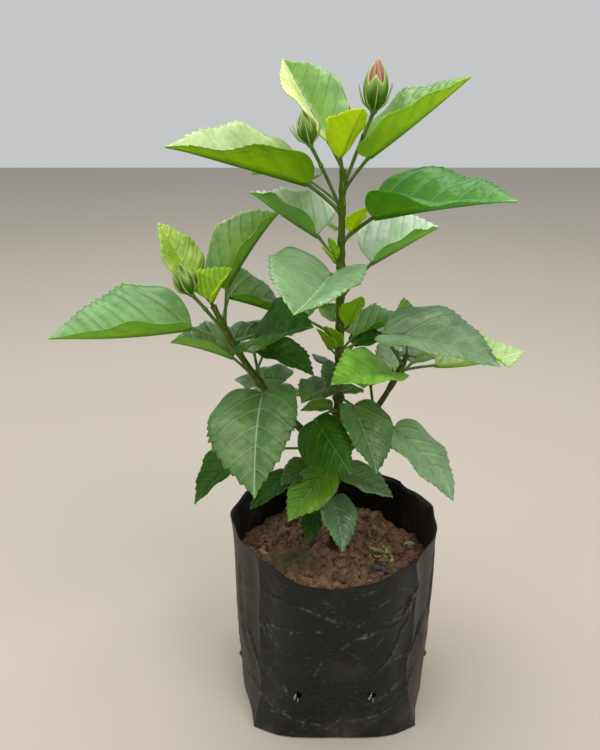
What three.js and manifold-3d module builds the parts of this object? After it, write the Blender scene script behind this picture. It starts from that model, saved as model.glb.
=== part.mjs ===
// A young hibiscus shrub in a black polythene grow bag. Millimetres, +Z up, +X to the viewer's right, +Y away.
// The origin is the middle of the bag's flat underside.
import * as THREE from 'three'
import { mergeVertices } from 'three/addons/utils/BufferGeometryUtils.js'
import Module from 'manifold-3d'

const wasm = await Module()
wasm.setup()

// The bag: a soft square base that rounds out to an open, wavy rim.
const bag = {
  halfBase: 65.5,
  halfRim: 69,
  rim: 131,
  wall: 1.2,
  cornerPower: 3.2,
  roundPower: 2.15,
  cornerHeight: 25,
  sideRise: 5,
  backRise: 1.5,
  frontSag: 6,
  frontBearing: -95,
  frontSpread: 35,
  segments: 32,
  levels: 4,
  drain: { radius: 2.1, height: 36, x: [-24.5, 24.5], depth: [55, 80] },
}

// The soil: a shallow mound with a level patch for the stem.
const soil = { top: 107, flatRadius: 10, fall: 5, gap: 0.3, lump: 1.6, rings: 4, segments: 28 }
const soilHollow = { depth: 7, x: 48, y: 30, width: 22, length: 26 }

// The stem and its two side boughs. Radii are at the foot and at the tip.
const stem = { x: 1.4, foot: 107.3, tip: 366, rootRadius: 3.7, tipRadius: 1.8, bow: 4.5, bowEnd: 172 }
const flare = { radius: 3.2, height: 4.5 }
const boughs = {
  left_bough: { root: 177, bearing: -165.4, rise: [42, 68], length: 139, radius: [2.7, 1.6] },
  right_bough: { root: 181, bearing: -12.8, rise: [50, 70], length: 86, radius: [2.3, 1.4] },
}
const clear = 0.3
const stemSides = 10
const stalkSides = 4

// The small cushion that a spray sits on, and its stalks: all radii, arch and sink in millimetres or shares.
const cushion = { radius: 1.7, tipRadius: 1.9, standOff: 0.9, tipStandOff: 1.1 }
const stalk = { radius: 0.55, perLength: 0.008, budRadius: 1.15, arch: 0.05, sink: 4, budSink: 3 }
const bladeThickness = { least: 1, share: 0.012 }
const bract = { count: 5, reach: 1.35, curl: 0.15, rise: 0.3, radii: [0.9, 0.75, 0.3] }

// What a leaf is unless its row says otherwise. fold is how far each half rises from flat, bend how far the
// midrib arches down over its length, full how blunt the base is, lobe how far the base reaches back beside
// the stalk, and skew how much wider the right-hand half is than the left-hand one.
const usualLeaf = { roll: 0, fold: 20, bend: 12, full: 0.42, lobe: 0.4, skew: 0, ratio: 0.69 }
const taper = 0.76
const bladeStations = 6

// Every spray grows from one place on a limb: at is the height on the stem, or the way along a bough.
// A stalk and a blade are each given as length, bearing and rise in degrees; bearing 0 is to the right and
// -90 towards the viewer.
const sprays = [
  { name: 'tip_spray', on: 'trunk', at: 366, leaves: [
    { stalk: [18, 144, 55], blade: [67, 124, 43], width: 48, roll: 14, fold: 50, bend: -24 },
    { stalk: [7.4, -116, 62], blade: [41, -70, 45], width: 29, fold: 38, bend: 5 } ] },
  { name: 'upper_right_bud_spray', on: 'trunk', at: 354, leaves: [
    { stalk: [25, -23, 51], blade: [69, -17, 39], width: 50, roll: -11, fold: 36, bend: -5, full: 0.37, lobe: 0.3 } ],
    bud: { stalk: [47, -12, 69], length: 33, radius: 7, tilt: [10, 88] } },
  { name: 'upper_left_bud_spray', on: 'trunk', at: 341, leaves: [
    { stalk: [27, -170, 39], blade: [85, -160, 17], width: 61, roll: 5, fold: 32, bend: 0, full: 0.32, lobe: 0.15 } ],
    bud: { stalk: [46.4, -134, 61], length: 21, radius: 6, tilt: [180, 84] } },
  { name: 'upper_right_spray', on: 'trunk', at: 324, leaves: [
    { stalk: [24, -13, 38], blade: [87, -34, 12], width: 67, fold: 40, bend: -15, full: 0.28, lobe: 0.3, skew: -0.38 },
    { stalk: [7, -46, 65], blade: [23, -63, 48], width: 16, bend: 2 } ] },
  { name: 'back_left_spray', on: 'trunk', at: 308, leaves: [
    { stalk: [26, 135, 39], blade: [66, 134, 18], width: 47, roll: 8, fold: 23, bend: 15 } ] },
  { name: 'young_left_spray', on: 'trunk', at: 308, leaves: [
    { stalk: [6, -144, 55], blade: [17, -130, 63], width: 11, bend: 2 } ] },
  { name: 'front_spray', on: 'trunk', at: 292, leaves: [
    { stalk: [32, -105, 34], blade: [81, -105, 0], width: 57, roll: 8, fold: 28, bend: -8, full: 0.34, lobe: 0.6, skew: 0.1 } ] },
  { name: 'back_right_spray', on: 'trunk', at: 289, leaves: [
    { stalk: [29, 22, 43], blade: [64, 41, 13], width: 46, roll: -18, fold: 35, bend: 0 } ] },
  { name: 'young_back_spray', on: 'trunk', at: 270, leaves: [
    { stalk: [7, 110, 15], blade: [24, 113, 15], width: 17 } ] },
  { name: 'young_right_spray', on: 'trunk', at: 266, leaves: [
    { stalk: [8, -35, 40], blade: [28, -64, 57], width: 19, fold: 27, bend: 4 } ] },
  { name: 'middle_right_spray', on: 'trunk', at: 254, leaves: [
    { stalk: [12, 27, 40], blade: [39, 34, 20], width: 27, roll: -8, fold: 16 },
    { stalk: [10, 8, 22], blade: [27, 24, 5], width: 19, roll: -12, bend: 14 } ] },
  { name: 'middle_left_spray', on: 'trunk', at: 250, leaves: [
    { stalk: [10, -120, 60], blade: [20, -126, 55], width: 14, fold: 26, bend: 3 },
    { stalk: [13, -130, 39], blade: [19, -140, 56], width: 13, fold: 24, bend: 2 } ] },
  { name: 'middle_front_spray', on: 'trunk', at: 240, leaves: [
    { stalk: [17, -102, 32], blade: [24, -104, -21], width: 17, roll: 11, fold: 29, bend: 23 } ] },
  { name: 'low_left_spray', on: 'trunk', at: 222, leaves: [
    { stalk: [12, -131, 58], blade: [40, -120, 5], width: 28, roll: 8, fold: 13, bend: 20 } ] },
  { name: 'low_right_spray', on: 'trunk', at: 222, leaves: [
    { stalk: [29, -75, 12], blade: [46, -69, -38], width: 34, roll: 10, fold: 15, bend: 21, full: 0.48, skew: -0.1 } ] },
  { name: 'low_back_right_spray', on: 'trunk', at: 222, leaves: [
    { stalk: [8, 55, 5], blade: [21, 52, -11], width: 14, roll: -10, fold: 13 } ] },
  { name: 'low_young_spray', on: 'trunk', at: 210, leaves: [
    { stalk: [7, -151, 49], blade: [21, -169, 1], width: 15, roll: 13, fold: 32, bend: 1 } ] },
  { name: 'low_front_spray', on: 'trunk', at: 214, leaves: [
    { stalk: [37, -116, 11], blade: [45, -60, -24], width: 32, roll: -30, fold: -14, bend: 18, full: 0.35, skew: 0.2 } ] },
  { name: 'foot_right_spray', on: 'trunk', at: 191, leaves: [
    { stalk: [43, -29, 25], blade: [59, -48, -31], width: 40, roll: 6, fold: 10, bend: 21 } ] },
  { name: 'foot_left_spray', on: 'trunk', at: 169, leaves: [
    { stalk: [31, -107, 27], blade: [41, -134, -32], width: 29, roll: 6, fold: -3, full: 0.45 },
    { stalk: [19, -142, 28], blade: [32, -138, -4], width: 24, roll: 7, fold: 13, bend: 21 } ] },
  { name: 'foot_right_low_spray', on: 'trunk', at: 163, leaves: [
    { stalk: [19, -75, 38], blade: [36, -19, -19], width: 26, roll: -9 } ] },
  { name: 'foot_left_low_spray', on: 'trunk', at: 160, leaves: [
    { stalk: [40, -153, 22], blade: [32, -150, -35], width: 22, fold: 4, bend: 15 } ] },
  { name: 'foot_front_spray', on: 'trunk', at: 153, leaves: [
    { stalk: [23, -93, 20], blade: [38, -79, -34], width: 26, roll: 17, fold: 10, bend: 25 } ] },
  { name: 'foot_young_spray', on: 'trunk', at: 144, leaves: [
    { stalk: [18, -127, 7], blade: [22, -106, -45], width: 15, fold: 13, bend: 22 } ] },
  { name: 'left_foot_spray', on: 'left_bough', at: 15, leaves: [
    { stalk: [55, -157, 8], blade: [45, -155, -41], width: 33, fold: 22, bend: 18 } ] },
  { name: 'left_front_spray', on: 'left_bough', at: 52, leaves: [
    { stalk: [42, -113, 39], blade: [71, -92, -30], width: 53, roll: -13, fold: 8, bend: 37, full: 0.32, lobe: 0.7 } ] },
  { name: 'left_back_low_spray', on: 'left_bough', at: 69, leaves: [
    { stalk: [22, 64, 6], blade: [43, 147, -11], width: 30, roll: 10, fold: 7, bend: 8 } ] },
  { name: 'left_inner_low_spray', on: 'left_bough', at: 86, leaves: [
    { stalk: [17, 42, 58], blade: [39, -38, -11], width: 27, roll: -8, bend: 28 } ] },
  { name: 'left_outer_low_spray', on: 'left_bough', at: 89, leaves: [
    { stalk: [20, 141, 25], blade: [46, 151, -2], width: 33, roll: 12, fold: 26, bend: 19 } ] },
  { name: 'left_inner_spray', on: 'left_bough', at: 104, leaves: [
    { stalk: [9, -29, 42], blade: [63, -42, 23], width: 49, roll: -31, fold: 14, bend: 14 } ] },
  { name: 'left_outer_bud_spray', on: 'left_bough', at: 111, leaves: [
    { stalk: [26, 174, 26], blade: [86, -168, -1], width: 61, roll: 7, fold: 37, bend: -13, full: 0.46, lobe: 0.1 } ],
    bud: { stalk: [38, 176, 53], length: 19, radius: 6, tilt: [165, 66] } },
  { name: 'left_back_spray', on: 'left_bough', at: 118, leaves: [
    { stalk: [16, 83, -32], blade: [43, 30, -4], width: 30, bend: 14 } ] },
  { name: 'left_upper_spray', on: 'left_bough', at: 124, leaves: [
    { stalk: [25, 46, 76], blade: [57, 42, 48], width: 42, roll: -5, fold: 33, bend: 18 } ] },
  { name: 'left_behind_spray', on: 'left_bough', at: 127, leaves: [
    { stalk: [24, 96, 37], blade: [57, 39, -15], width: 41, roll: -21, fold: 14, bend: 9 } ] },
  { name: 'left_tip_spray', on: 'left_bough', at: 139, leaves: [
    { stalk: [19, -117, 58], blade: [39, 160, 53], width: 29, roll: 12, fold: 12, bend: 14 },
    { stalk: [10, -78, 38], blade: [25, 65, 39], width: 19, roll: 5, fold: 33, bend: 14 } ] },
  { name: 'right_behind_spray', on: 'right_bough', at: 66, leaves: [
    { stalk: [13, 87, 5], blade: [32, 96, 27], width: 20, roll: -7, fold: 13 } ] },
  { name: 'right_inner_spray', on: 'right_bough', at: 71, leaves: [
    { stalk: [8, -120, 22], blade: [54, -138, 8], width: 40, roll: 15, fold: 22, bend: 22 } ] },
  { name: 'right_outer_spray', on: 'right_bough', at: 74, leaves: [
    { stalk: [23, 6, 11], blade: [60, 13, 2], width: 44, roll: -16, fold: 22, bend: 17 } ] },
  { name: 'right_large_spray', on: 'right_bough', at: 79, leaves: [
    { stalk: [29, -144, 52], blade: [72, -26, -7], width: 52, roll: -13, fold: 16, bend: 31, lobe: 0.2, skew: -0.1 } ] },
  { name: 'right_tip_spray', on: 'right_bough', at: 86, leaves: [
    { stalk: [14, 99, 72], blade: [22, 97, 60], width: 16, fold: 30, bend: 5 },
    { stalk: [6, -31, -10], blade: [14, -12, 15], width: 10, fold: 13, bend: 6 } ] },
]

// The leaves on the side away from the viewer, one to a place: on which limb and where, the bearing and rise
// of the blade, its length, and its stalk's length.
const rearLeaves = [
  ['trunk', 345, 140, 0, 48, 28], ['trunk', 316, 90, -12, 58, 28], ['trunk', 281, 100, -25, 64, 20],
  ['trunk', 262, 145, -22, 56, 28], ['trunk', 244, 60, -12, 66, 30], ['trunk', 229, 85, -25, 62, 20],
  ['trunk', 205, 115, -24, 66, 28], ['trunk', 181, 20, -25, 62, 20], ['trunk', 160, 90, -25, 56, 26],
  ['left_bough', 46, 132, -18, 46, 20], ['left_bough', 80, 100, -12, 60, 28],
  ['right_bough', 40, 90, -24, 60, 28], ['right_bough', 62, 48, -24, 60, 26],
]
const rearStalkRise = 26

const finish = {
  bag: { color: 0x232527, roughness: 0.42, metalness: 0 },
  soil: { color: 0x4e3a2e, roughness: 0.95, metalness: 0 },
  bark: { color: 0x55642a, roughness: 0.7, metalness: 0 },
  leaf: { color: 0x4f7d3a, roughness: 0.5, metalness: 0 },
  youngLeaf: { color: 0x84b83a, roughness: 0.5, metalness: 0 },
}

const up = new THREE.Vector3(0, 0, 1)
const rad = THREE.MathUtils.degToRad

// A vector of the given length, bearing and rise in degrees.
function heading([length, bearing, rise]) {
  const flat = length * Math.cos(rad(rise))
  return new THREE.Vector3(flat * Math.cos(rad(bearing)), flat * Math.sin(rad(bearing)), length * Math.sin(rad(rise)))
}

function geometryFrom(points, triangles) {
  const geometry = new THREE.BufferGeometry()
  geometry.setAttribute('position', new THREE.Float32BufferAttribute(points.flatMap((p) => [p.x, p.y, p.z]), 3))
  geometry.setIndex(triangles.flat())
  return geometry
}

// A closed body through rings of points, each ring counter-clockwise seen from the end it runs to.
function loft(rings, firstCentre, lastCentre) {
  const n = rings[0].length
  const points = [...rings.flat(), firstCentre, lastCentre]
  const triangles = []
  const first = rings.length * n
  for (let i = 0; i < rings.length - 1; i += 1) {
    for (let j = 0; j < n; j += 1) {
      const k = (j + 1) % n
      const [a, b, c, d] = [i * n + j, i * n + k, (i + 1) * n + k, (i + 1) * n + j]
      triangles.push([a, b, c], [a, c, d])
    }
  }
  for (let j = 0; j < n; j += 1) {
    const k = (j + 1) % n
    triangles.push([first, k, j])
    triangles.push([first + 1, (rings.length - 1) * n + j, (rings.length - 1) * n + k])
  }
  return geometryFrom(points, triangles)
}

function centreOf(ring) {
  return ring.reduce((sum, p) => sum.add(p), new THREE.Vector3()).divideScalar(ring.length)
}

// A tapering tube along a path of points; radii holds one radius for each point.
function tube(path, radii, sides) {
  const rings = path.map((point, i) => {
    const along = path[Math.min(i + 1, path.length - 1)].clone().sub(path[Math.max(i - 1, 0)]).normalize()
    const side = Math.abs(along.z) > 0.95 ? new THREE.Vector3(1, 0, 0) : up.clone()
    const u = side.sub(along.clone().multiplyScalar(side.dot(along))).normalize()
    const v = along.clone().cross(u)
    return Array.from({ length: sides }, (_, j) => {
      const turn = (2 * Math.PI * (j + 0.5)) / sides
      return point.clone().addScaledVector(u, radii[i] * Math.cos(turn)).addScaledVector(v, radii[i] * Math.sin(turn))
    })
  })
  return loft(rings, centreOf(rings[0]), centreOf(rings.at(-1)))
}

function solidOf(geometry) {
  const bare = geometry.clone()
  bare.deleteAttribute('normal')
  bare.deleteAttribute('uv')
  const merged = bare.index ? bare : mergeVertices(bare, 1e-5)
  return new wasm.Manifold(new wasm.Mesh({
    numProp: 3,
    vertProperties: new Float32Array(merged.attributes.position.array),
    triVerts: new Uint32Array(merged.index.array),
  }))
}

function geometryOf(solid) {
  const mesh = solid.getMesh()
  const geometry = new THREE.BufferGeometry()
  geometry.setAttribute('position', new THREE.BufferAttribute(mesh.vertProperties, 3))
  geometry.setIndex(new THREE.BufferAttribute(mesh.triVerts, 1))
  return geometry
}

// The grow bag.

function bagHalfWidth(z) {
  return THREE.MathUtils.lerp(bag.halfBase, bag.halfRim, z / bag.rim)
}

// A rounded square whose corners stand out at the base: |x|^n + |y|^n = half^n.
function bagRadius(turn, z) {
  const power = bag.roundPower + (bag.cornerPower - bag.roundPower) * Math.exp(-z / bag.cornerHeight)
  const spread = Math.abs(Math.cos(turn)) ** power + Math.abs(Math.sin(turn)) ** power
  return bagHalfWidth(z) / spread ** (1 / power)
}

// The rim stands higher at the two sides and sags at the front.
function rimHeight(turn) {
  const fromFront = THREE.MathUtils.euclideanModulo(turn - rad(bag.frontBearing) + Math.PI, 2 * Math.PI) - Math.PI
  const sag = bag.frontSag * Math.exp(-((fromFront / rad(bag.frontSpread)) ** 2))
  return bag.rim + bag.sideRise * Math.cos(turn) ** 2 + bag.backRise * Math.cos(turn - rad(45)) - sag
}

function bagRing(share, inward) {
  return Array.from({ length: bag.segments }, (_, j) => {
    const turn = (2 * Math.PI * j) / bag.segments
    const z = inward ? Math.max(bag.wall, share * rimHeight(turn)) : share * rimHeight(turn)
    const r = bagRadius(turn, z) - (inward ? bag.wall : 0)
    return new THREE.Vector3(r * Math.cos(turn), r * Math.sin(turn), z)
  })
}

function makeBag() {
  const shares = Array.from({ length: bag.levels + 1 }, (_, i) => (i / bag.levels) ** 1.4)
  const outer = shares.map((share) => bagRing(share, false))
  const inner = shares.toReversed().map((share) => bagRing(share, true))
  return loft([...outer, ...inner], new THREE.Vector3(), new THREE.Vector3(0, 0, bag.wall))
}

// Drain holes are punched through the front and the back, low down.
function drainHoles() {
  const { radius, height, x, depth } = bag.drain
  return x.flatMap((across) => [-1, 1].map((side) => {
    const path = depth.map((y) => new THREE.Vector3(across, side * y, height))
    return tube(path, [radius, radius], 6)
  }))
}

// The soil in the bag: a mound with soft lumps, lower beside the bag at the back right.
function soilHeight(x, y) {
  const r = Math.hypot(x, y)
  const out = Math.max(0, r - soil.flatRadius) / (bag.halfBase - soil.flatRadius)
  const lumps = Math.sin(x * 0.21 + 1.3) * Math.sin(y * 0.26 + 0.4) + 0.6 * Math.sin(x * 0.43 - y * 0.37)
  const fromHollow = ((x - soilHollow.x) / soilHollow.width) ** 2 + ((y - soilHollow.y) / soilHollow.length) ** 2
  const lumpy = soil.lump * lumps * Math.min(1, out * 3)
  return soil.top - soil.fall * out ** 2 + lumpy - soilHollow.depth * Math.exp(-fromHollow)
}

function makeSoil() {
  const inset = bag.wall + soil.gap
  const ring = (share, height) => Array.from({ length: soil.segments }, (_, j) => {
    const turn = (2 * Math.PI * j) / soil.segments
    const z = height ?? soil.top
    const r = share * (bagRadius(turn, z) - inset) * Math.cos(Math.PI / soil.segments)
    const x = r * Math.cos(turn)
    const y = r * Math.sin(turn)
    return new THREE.Vector3(x, y, height ?? soilHeight(x, y))
  })
  const wallLevels = [0, 0.12, 0.35, 0.75].map((t) => ring(1, inset + t * (soil.top - soil.fall - inset)))
  const topShares = Array.from({ length: soil.rings }, (_, i) => 1 - i / soil.rings)
  const flat = soil.flatRadius / bag.halfBase
  const top = [...topShares.filter((share) => share > flat), flat].map((share) => ring(share))
  return loft([...wallLevels, ...top], new THREE.Vector3(0, 0, inset), new THREE.Vector3(0, 0, soil.top))
}

// The limbs: each gives its point and radius at a height or a way along.

// The stem is upright but for a shallow bow to the left just above the soil.
function stemPoint(z) {
  const low = z < stem.bowEnd ? Math.sin((Math.PI * (z - stem.foot)) / (stem.bowEnd - stem.foot)) ** 2 : 0
  return new THREE.Vector3(stem.x - stem.bow * low, 0, z)
}

function stemRadius(z) {
  const t = (z - stem.foot) / (stem.tip - stem.foot)
  const spread = flare.radius * Math.exp(-(z - stem.foot) / flare.height)
  return THREE.MathUtils.lerp(stem.rootRadius, stem.tipRadius, t ** 0.8) + spread
}

// A bough leaves the stem at its root height, its rise growing evenly from root to tip.
function boughPoint(bough, s) {
  const steps = 40
  const point = stemPoint(bough.root)
  for (let i = 0; i < steps; i += 1) {
    const rise = THREE.MathUtils.lerp(bough.rise[0], bough.rise[1], ((i + 0.5) / steps) * (s / bough.length))
    point.add(heading([s / steps, bough.bearing, rise]))
  }
  return point
}

const limbs = {
  trunk: {
    from: stem.foot,
    to: stem.tip,
    point: stemPoint,
    radius: stemRadius,
  },
}
for (const [name, bough] of Object.entries(boughs)) {
  limbs[name] = {
    from: 0,
    to: bough.length,
    point: (s) => boughPoint(bough, s),
    radius: (s) => THREE.MathUtils.lerp(bough.radius[0], bough.radius[1], s / bough.length),
  }
}

function limbDirection(limb, s) {
  return limb.point(s + 0.5).sub(limb.point(s - 0.5)).normalize()
}

function limbTube(limb, extra, steps) {
  const places = Array.from({ length: steps + 1 }, (_, i) => limb.from + ((limb.to - limb.from) * i) / steps)
  return tube(places.map(limb.point), places.map((s) => limb.radius(s) + extra), stemSides)
}

// The stem's rings lie closer together in the flare at its foot, and its foot is cut level.
function makeStem(extra) {
  const low = [0, 1.5, 3.5, 7, 12].map((h) => stem.foot + h)
  const rest = Array.from({ length: 14 }, (_, i) => stem.foot + 12 + ((stem.tip - stem.foot - 12) * (i + 1)) / 14)
  const rings = [...low, ...rest].map((z) => Array.from({ length: stemSides }, (_, j) => {
    const turn = (2 * Math.PI * (j + 0.5)) / stemSides
    const r = stemRadius(z) + extra
    return stemPoint(z).add(new THREE.Vector3(r * Math.cos(turn), r * Math.sin(turn), 0))
  }))
  return loft(rings, centreOf(rings[0]), centreOf(rings.at(-1)))
}

// The leaves.

// The blade's frame: its midrib is an arc in the plane of its heading and its upper side.
function bladeFrame(leaf) {
  const along = heading([1, leaf.blade[1], leaf.blade[2]])
  const level = new THREE.Vector3(Math.sin(rad(leaf.blade[1])), -Math.cos(rad(leaf.blade[1])), 0)
  const over = level.clone().cross(along)
  const turn = rad(leaf.roll)
  const side = level.clone().multiplyScalar(Math.cos(turn)).addScaledVector(over, Math.sin(turn))
  const top = over.clone().multiplyScalar(Math.cos(turn)).addScaledVector(level, -Math.sin(turn))
  const bend = rad(Math.abs(leaf.bend) < 0.5 ? 0.5 : leaf.bend)
  const start = along.clone().multiplyScalar(Math.cos(bend / 2)).addScaledVector(top, Math.sin(bend / 2))
  const startTop = top.clone().multiplyScalar(Math.cos(bend / 2)).addScaledVector(along, -Math.sin(bend / 2))
  const arc = (leaf.blade[0] * (bend / 2)) / Math.sin(bend / 2)
  return {
    side,
    rib: (x) => leaf.base.clone()
      .addScaledVector(start, (arc / bend) * Math.sin(bend * x))
      .addScaledVector(startTop, (-arc / bend) * (1 - Math.cos(bend * x))),
    top: (x) => startTop.clone().multiplyScalar(Math.cos(bend * x)).addScaledVector(start, Math.sin(bend * x)),
  }
}

// The half-width along the blade is p^full (1 - p)^taper, scaled to 1 where it is widest.
function bladeShape(leaf, p) {
  const widest = leaf.full / (leaf.full + taper)
  const peak = widest ** leaf.full * (1 - widest) ** taper
  return (p ** leaf.full * (1 - p) ** taper) / peak
}

// A point of the blade: p runs from base to tip, and v is -1 to 1 across it, right-hand side positive.
function bladePoint(leaf, frame, p, v) {
  const x = p - leaf.lobe * Math.abs(v) * Math.sin(Math.PI * p) * (1 - p) ** 2
  const across = (bladeShape(leaf, p) * leaf.width * Math.abs(v) * (1 + Math.sign(v) * leaf.skew)) / 2
  return frame.rib(x)
    .addScaledVector(frame.side, across * Math.sign(v) * Math.cos(rad(leaf.fold)))
    .addScaledVector(frame.top(x), across * Math.sin(rad(leaf.fold)))
}

function makeBlade(leaf) {
  const frame = bladeFrame(leaf)
  const thickness = Math.max(bladeThickness.least, bladeThickness.share * leaf.blade[0])
  const half = thickness / 2 / Math.cos(rad(leaf.fold))
  const points = []
  const triangles = []
  for (let i = 0; i <= bladeStations; i += 1) {
    const p = (i / bladeStations) ** 1.25
    for (const v of [-1, 0, 1]) {
      const middle = bladePoint(leaf, frame, p, v)
      points.push(middle.clone().addScaledVector(frame.top(p), half))
      points.push(middle.clone().addScaledVector(frame.top(p), -half))
    }
  }
  const at = (i, column, lower) => {
    const end = i === 0 || i === bladeStations
    return i * 6 + (end ? 1 : column) * 2 + (lower ? 1 : 0)
  }
  const face = (a, b, c) => {
    if (a !== b && b !== c && c !== a) triangles.push([a, b, c])
  }
  for (let i = 0; i < bladeStations; i += 1) {
    for (const [left, right] of [[0, 1], [1, 2]]) {
      face(at(i, left, false), at(i, right, false), at(i + 1, right, false))
      face(at(i, left, false), at(i + 1, right, false), at(i + 1, left, false))
      face(at(i, left, true), at(i + 1, right, true), at(i, right, true))
      face(at(i, left, true), at(i + 1, left, true), at(i + 1, right, true))
    }
    for (const [column, turned] of [[0, false], [2, true]]) {
      const [a, b, c, d] = [at(i, column, false), at(i + 1, column, false), at(i + 1, column, true), at(i, column, true)]
      if (turned) {
        face(a, d, c)
        face(a, c, b)
      } else {
        face(a, b, c)
        face(a, c, d)
      }
    }
  }
  const used = [...new Set(triangles.flat())]
  const place = new Map(used.map((index, i) => [index, i]))
  return geometryFrom(used.map((index) => points[index]), triangles.map((t) => t.map((index) => place.get(index))))
}

// A stalk arches a little from its foot on the limb and sinks into the base of the blade.
function makeStalk(from, base, into, radius) {
  const middle = from.clone().lerp(base, 0.5).addScaledVector(up, stalk.arch * from.distanceTo(base))
  const curve = new THREE.QuadraticBezierCurve3(from, middle, base)
  const path = [...curve.getPoints(2), into]
  return tube(path, [1.15, 1, 0.95, 0.5].map((k) => k * radius), stalkSides)
}

// A bud: a ribbed cone of five folded petals in its cup, with narrow bracts round the foot.
function makeBud(bud, base) {
  const axis = heading([1, ...bud.tilt])
  const profile = [[0, 0.35], [0.12, 0.85], [0.35, 1], [0.65, 0.75], [1, 0.1]]
  const path = profile.map(([t]) => base.clone().addScaledVector(axis, t * bud.length))
  const body = tube(path, profile.map(([, r]) => r * bud.radius), 7)
  const bracts = Array.from({ length: bract.count }, (_, i) => {
    const turn = (2 * Math.PI * i) / bract.count
    const out = new THREE.Vector3(Math.cos(turn), Math.sin(turn), 0)
    const rise = axis.clone().multiplyScalar(bract.rise * bud.length)
    const root = base.clone().addScaledVector(axis, 0.06 * bud.length)
    const bow = root.clone().addScaledVector(out, bract.reach * bud.radius).add(rise)
    const end = bow.clone().addScaledVector(out, bract.curl * bud.radius).add(rise)
    return tube([root, bow, end], bract.radii, 3)
  })
  return [body, ...bracts]
}

function withUsual(leaf) {
  return { ...usualLeaf, width: usualLeaf.ratio * leaf.blade[0], ...leaf }
}

// The bodies of one spray, before they are joined: its leaf cushion on the limb, stalks, blades and bud.
function sprayBodies(spray) {
  const limb = limbs[spray.on]
  const foot = limb.point(spray.at)
  const along = limbDirection(limb, spray.at)
  const atTip = spray.at >= limb.to
  const outward = heading([1, spray.leaves[0].stalk[1], spray.leaves[0].stalk[2]])
  outward.addScaledVector(along, -outward.dot(along)).normalize()
  const reach = limb.radius(spray.at)
  const from = atTip
    ? foot.clone().addScaledVector(along, cushion.tipStandOff)
    : foot.clone().addScaledVector(outward, reach + cushion.standOff)
  const pad = new THREE.OctahedronGeometry(atTip ? cushion.tipRadius : cushion.radius)
  pad.translate(from.x, from.y, from.z)
  const bodies = [pad]
  for (const row of spray.leaves) {
    const leaf = withUsual(row)
    leaf.base = foot.clone().add(heading(leaf.stalk))
    const into = bladeFrame(leaf).rib(Math.min(0.12, stalk.sink / leaf.blade[0]))
    bodies.push(makeStalk(from, leaf.base, into, stalk.radius + stalk.perLength * leaf.blade[0]), makeBlade(leaf))
  }
  if (spray.bud) {
    const base = foot.clone().add(heading(spray.bud.stalk))
    const into = base.clone().addScaledVector(heading([1, ...spray.bud.tilt]), stalk.budSink)
    bodies.push(makeStalk(from, base, into, stalk.budRadius), ...makeBud(spray.bud, base))
  }
  return bodies
}

function rearSprays() {
  return rearLeaves.map(([on, at, bearing, rise, length, stalkLength], i) => ({
    name: `rear_spray_${i + 1}`,
    on,
    at,
    leaves: [{ stalk: [stalkLength, bearing, rearStalkRise + 0.4 * rise], blade: [length, bearing, rise], bend: 18 }],
  }))
}

const stemSolid = solidOf(makeStem(0))
const stemSleeve = solidOf(makeStem(clear))
const boughSolids = {}
const sleeves = [stemSleeve]
for (const name of Object.keys(boughs)) {
  boughSolids[name] = solidOf(limbTube(limbs[name], 0, 9)).subtract(stemSleeve)
  sleeves.push(solidOf(limbTube(limbs[name], clear, 9)))
}
const allSleeves = sleeves.reduce((sum, sleeve) => sum.add(sleeve))

function makeSpray(spray) {
  const joined = sprayBodies(spray).map(solidOf).reduce((sum, body) => sum.add(body))
  const pieces = joined.subtract(allSleeves).decompose()
  return pieces.reduce((best, piece) => (piece.volume() > best.volume() ? piece : best))
}

const plant = new THREE.Group()
plant.name = 'potted_hibiscus'

function addPiece(name, geometry, look) {
  const mesh = new THREE.Mesh(geometry, new THREE.MeshStandardMaterial(look))
  mesh.name = name
  plant.add(mesh)
}

const punched = drainHoles().map(solidOf).reduce((rest, hole) => rest.subtract(hole), solidOf(makeBag()))
addPiece('grow_bag', geometryOf(punched), finish.bag)
addPiece('soil', makeSoil(), finish.soil)
addPiece('trunk', geometryOf(stemSolid), finish.bark)
for (const [name, solid] of Object.entries(boughSolids)) addPiece(name, geometryOf(solid), finish.bark)
for (const spray of [...sprays, ...rearSprays()]) {
  const young = spray.leaves[0].blade[0] < 35
  addPiece(spray.name, geometryOf(makeSpray(spray)), young ? finish.youngLeaf : finish.leaf)
}

export default plant
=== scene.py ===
import bpy
import numpy as np
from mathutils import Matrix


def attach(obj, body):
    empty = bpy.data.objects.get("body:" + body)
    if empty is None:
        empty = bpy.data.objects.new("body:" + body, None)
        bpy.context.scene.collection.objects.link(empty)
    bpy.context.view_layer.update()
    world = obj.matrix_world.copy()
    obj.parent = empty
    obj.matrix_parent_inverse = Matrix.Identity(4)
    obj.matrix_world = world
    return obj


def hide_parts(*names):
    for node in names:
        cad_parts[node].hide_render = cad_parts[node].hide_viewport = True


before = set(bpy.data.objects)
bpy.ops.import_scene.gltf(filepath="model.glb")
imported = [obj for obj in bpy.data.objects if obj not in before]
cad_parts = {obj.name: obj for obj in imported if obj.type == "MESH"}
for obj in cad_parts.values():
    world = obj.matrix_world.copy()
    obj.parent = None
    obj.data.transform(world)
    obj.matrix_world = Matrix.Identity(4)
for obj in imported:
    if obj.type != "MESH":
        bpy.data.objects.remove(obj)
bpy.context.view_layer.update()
mm = 0.001
tau = 2 * np.pi


def linear(hexText):
    # sRGB to linear light: c / 12.92 when dark, else ((c + 0.055) / 1.055) to the power 2.4
    c = np.array([int(hexText[i : i + 2], 16) for i in (1, 3, 5)]) / 255
    return (*np.where(c < 0.04045, c / 12.92, ((c + 0.055) / 1.055) ** 2.4), 1.0)


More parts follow.
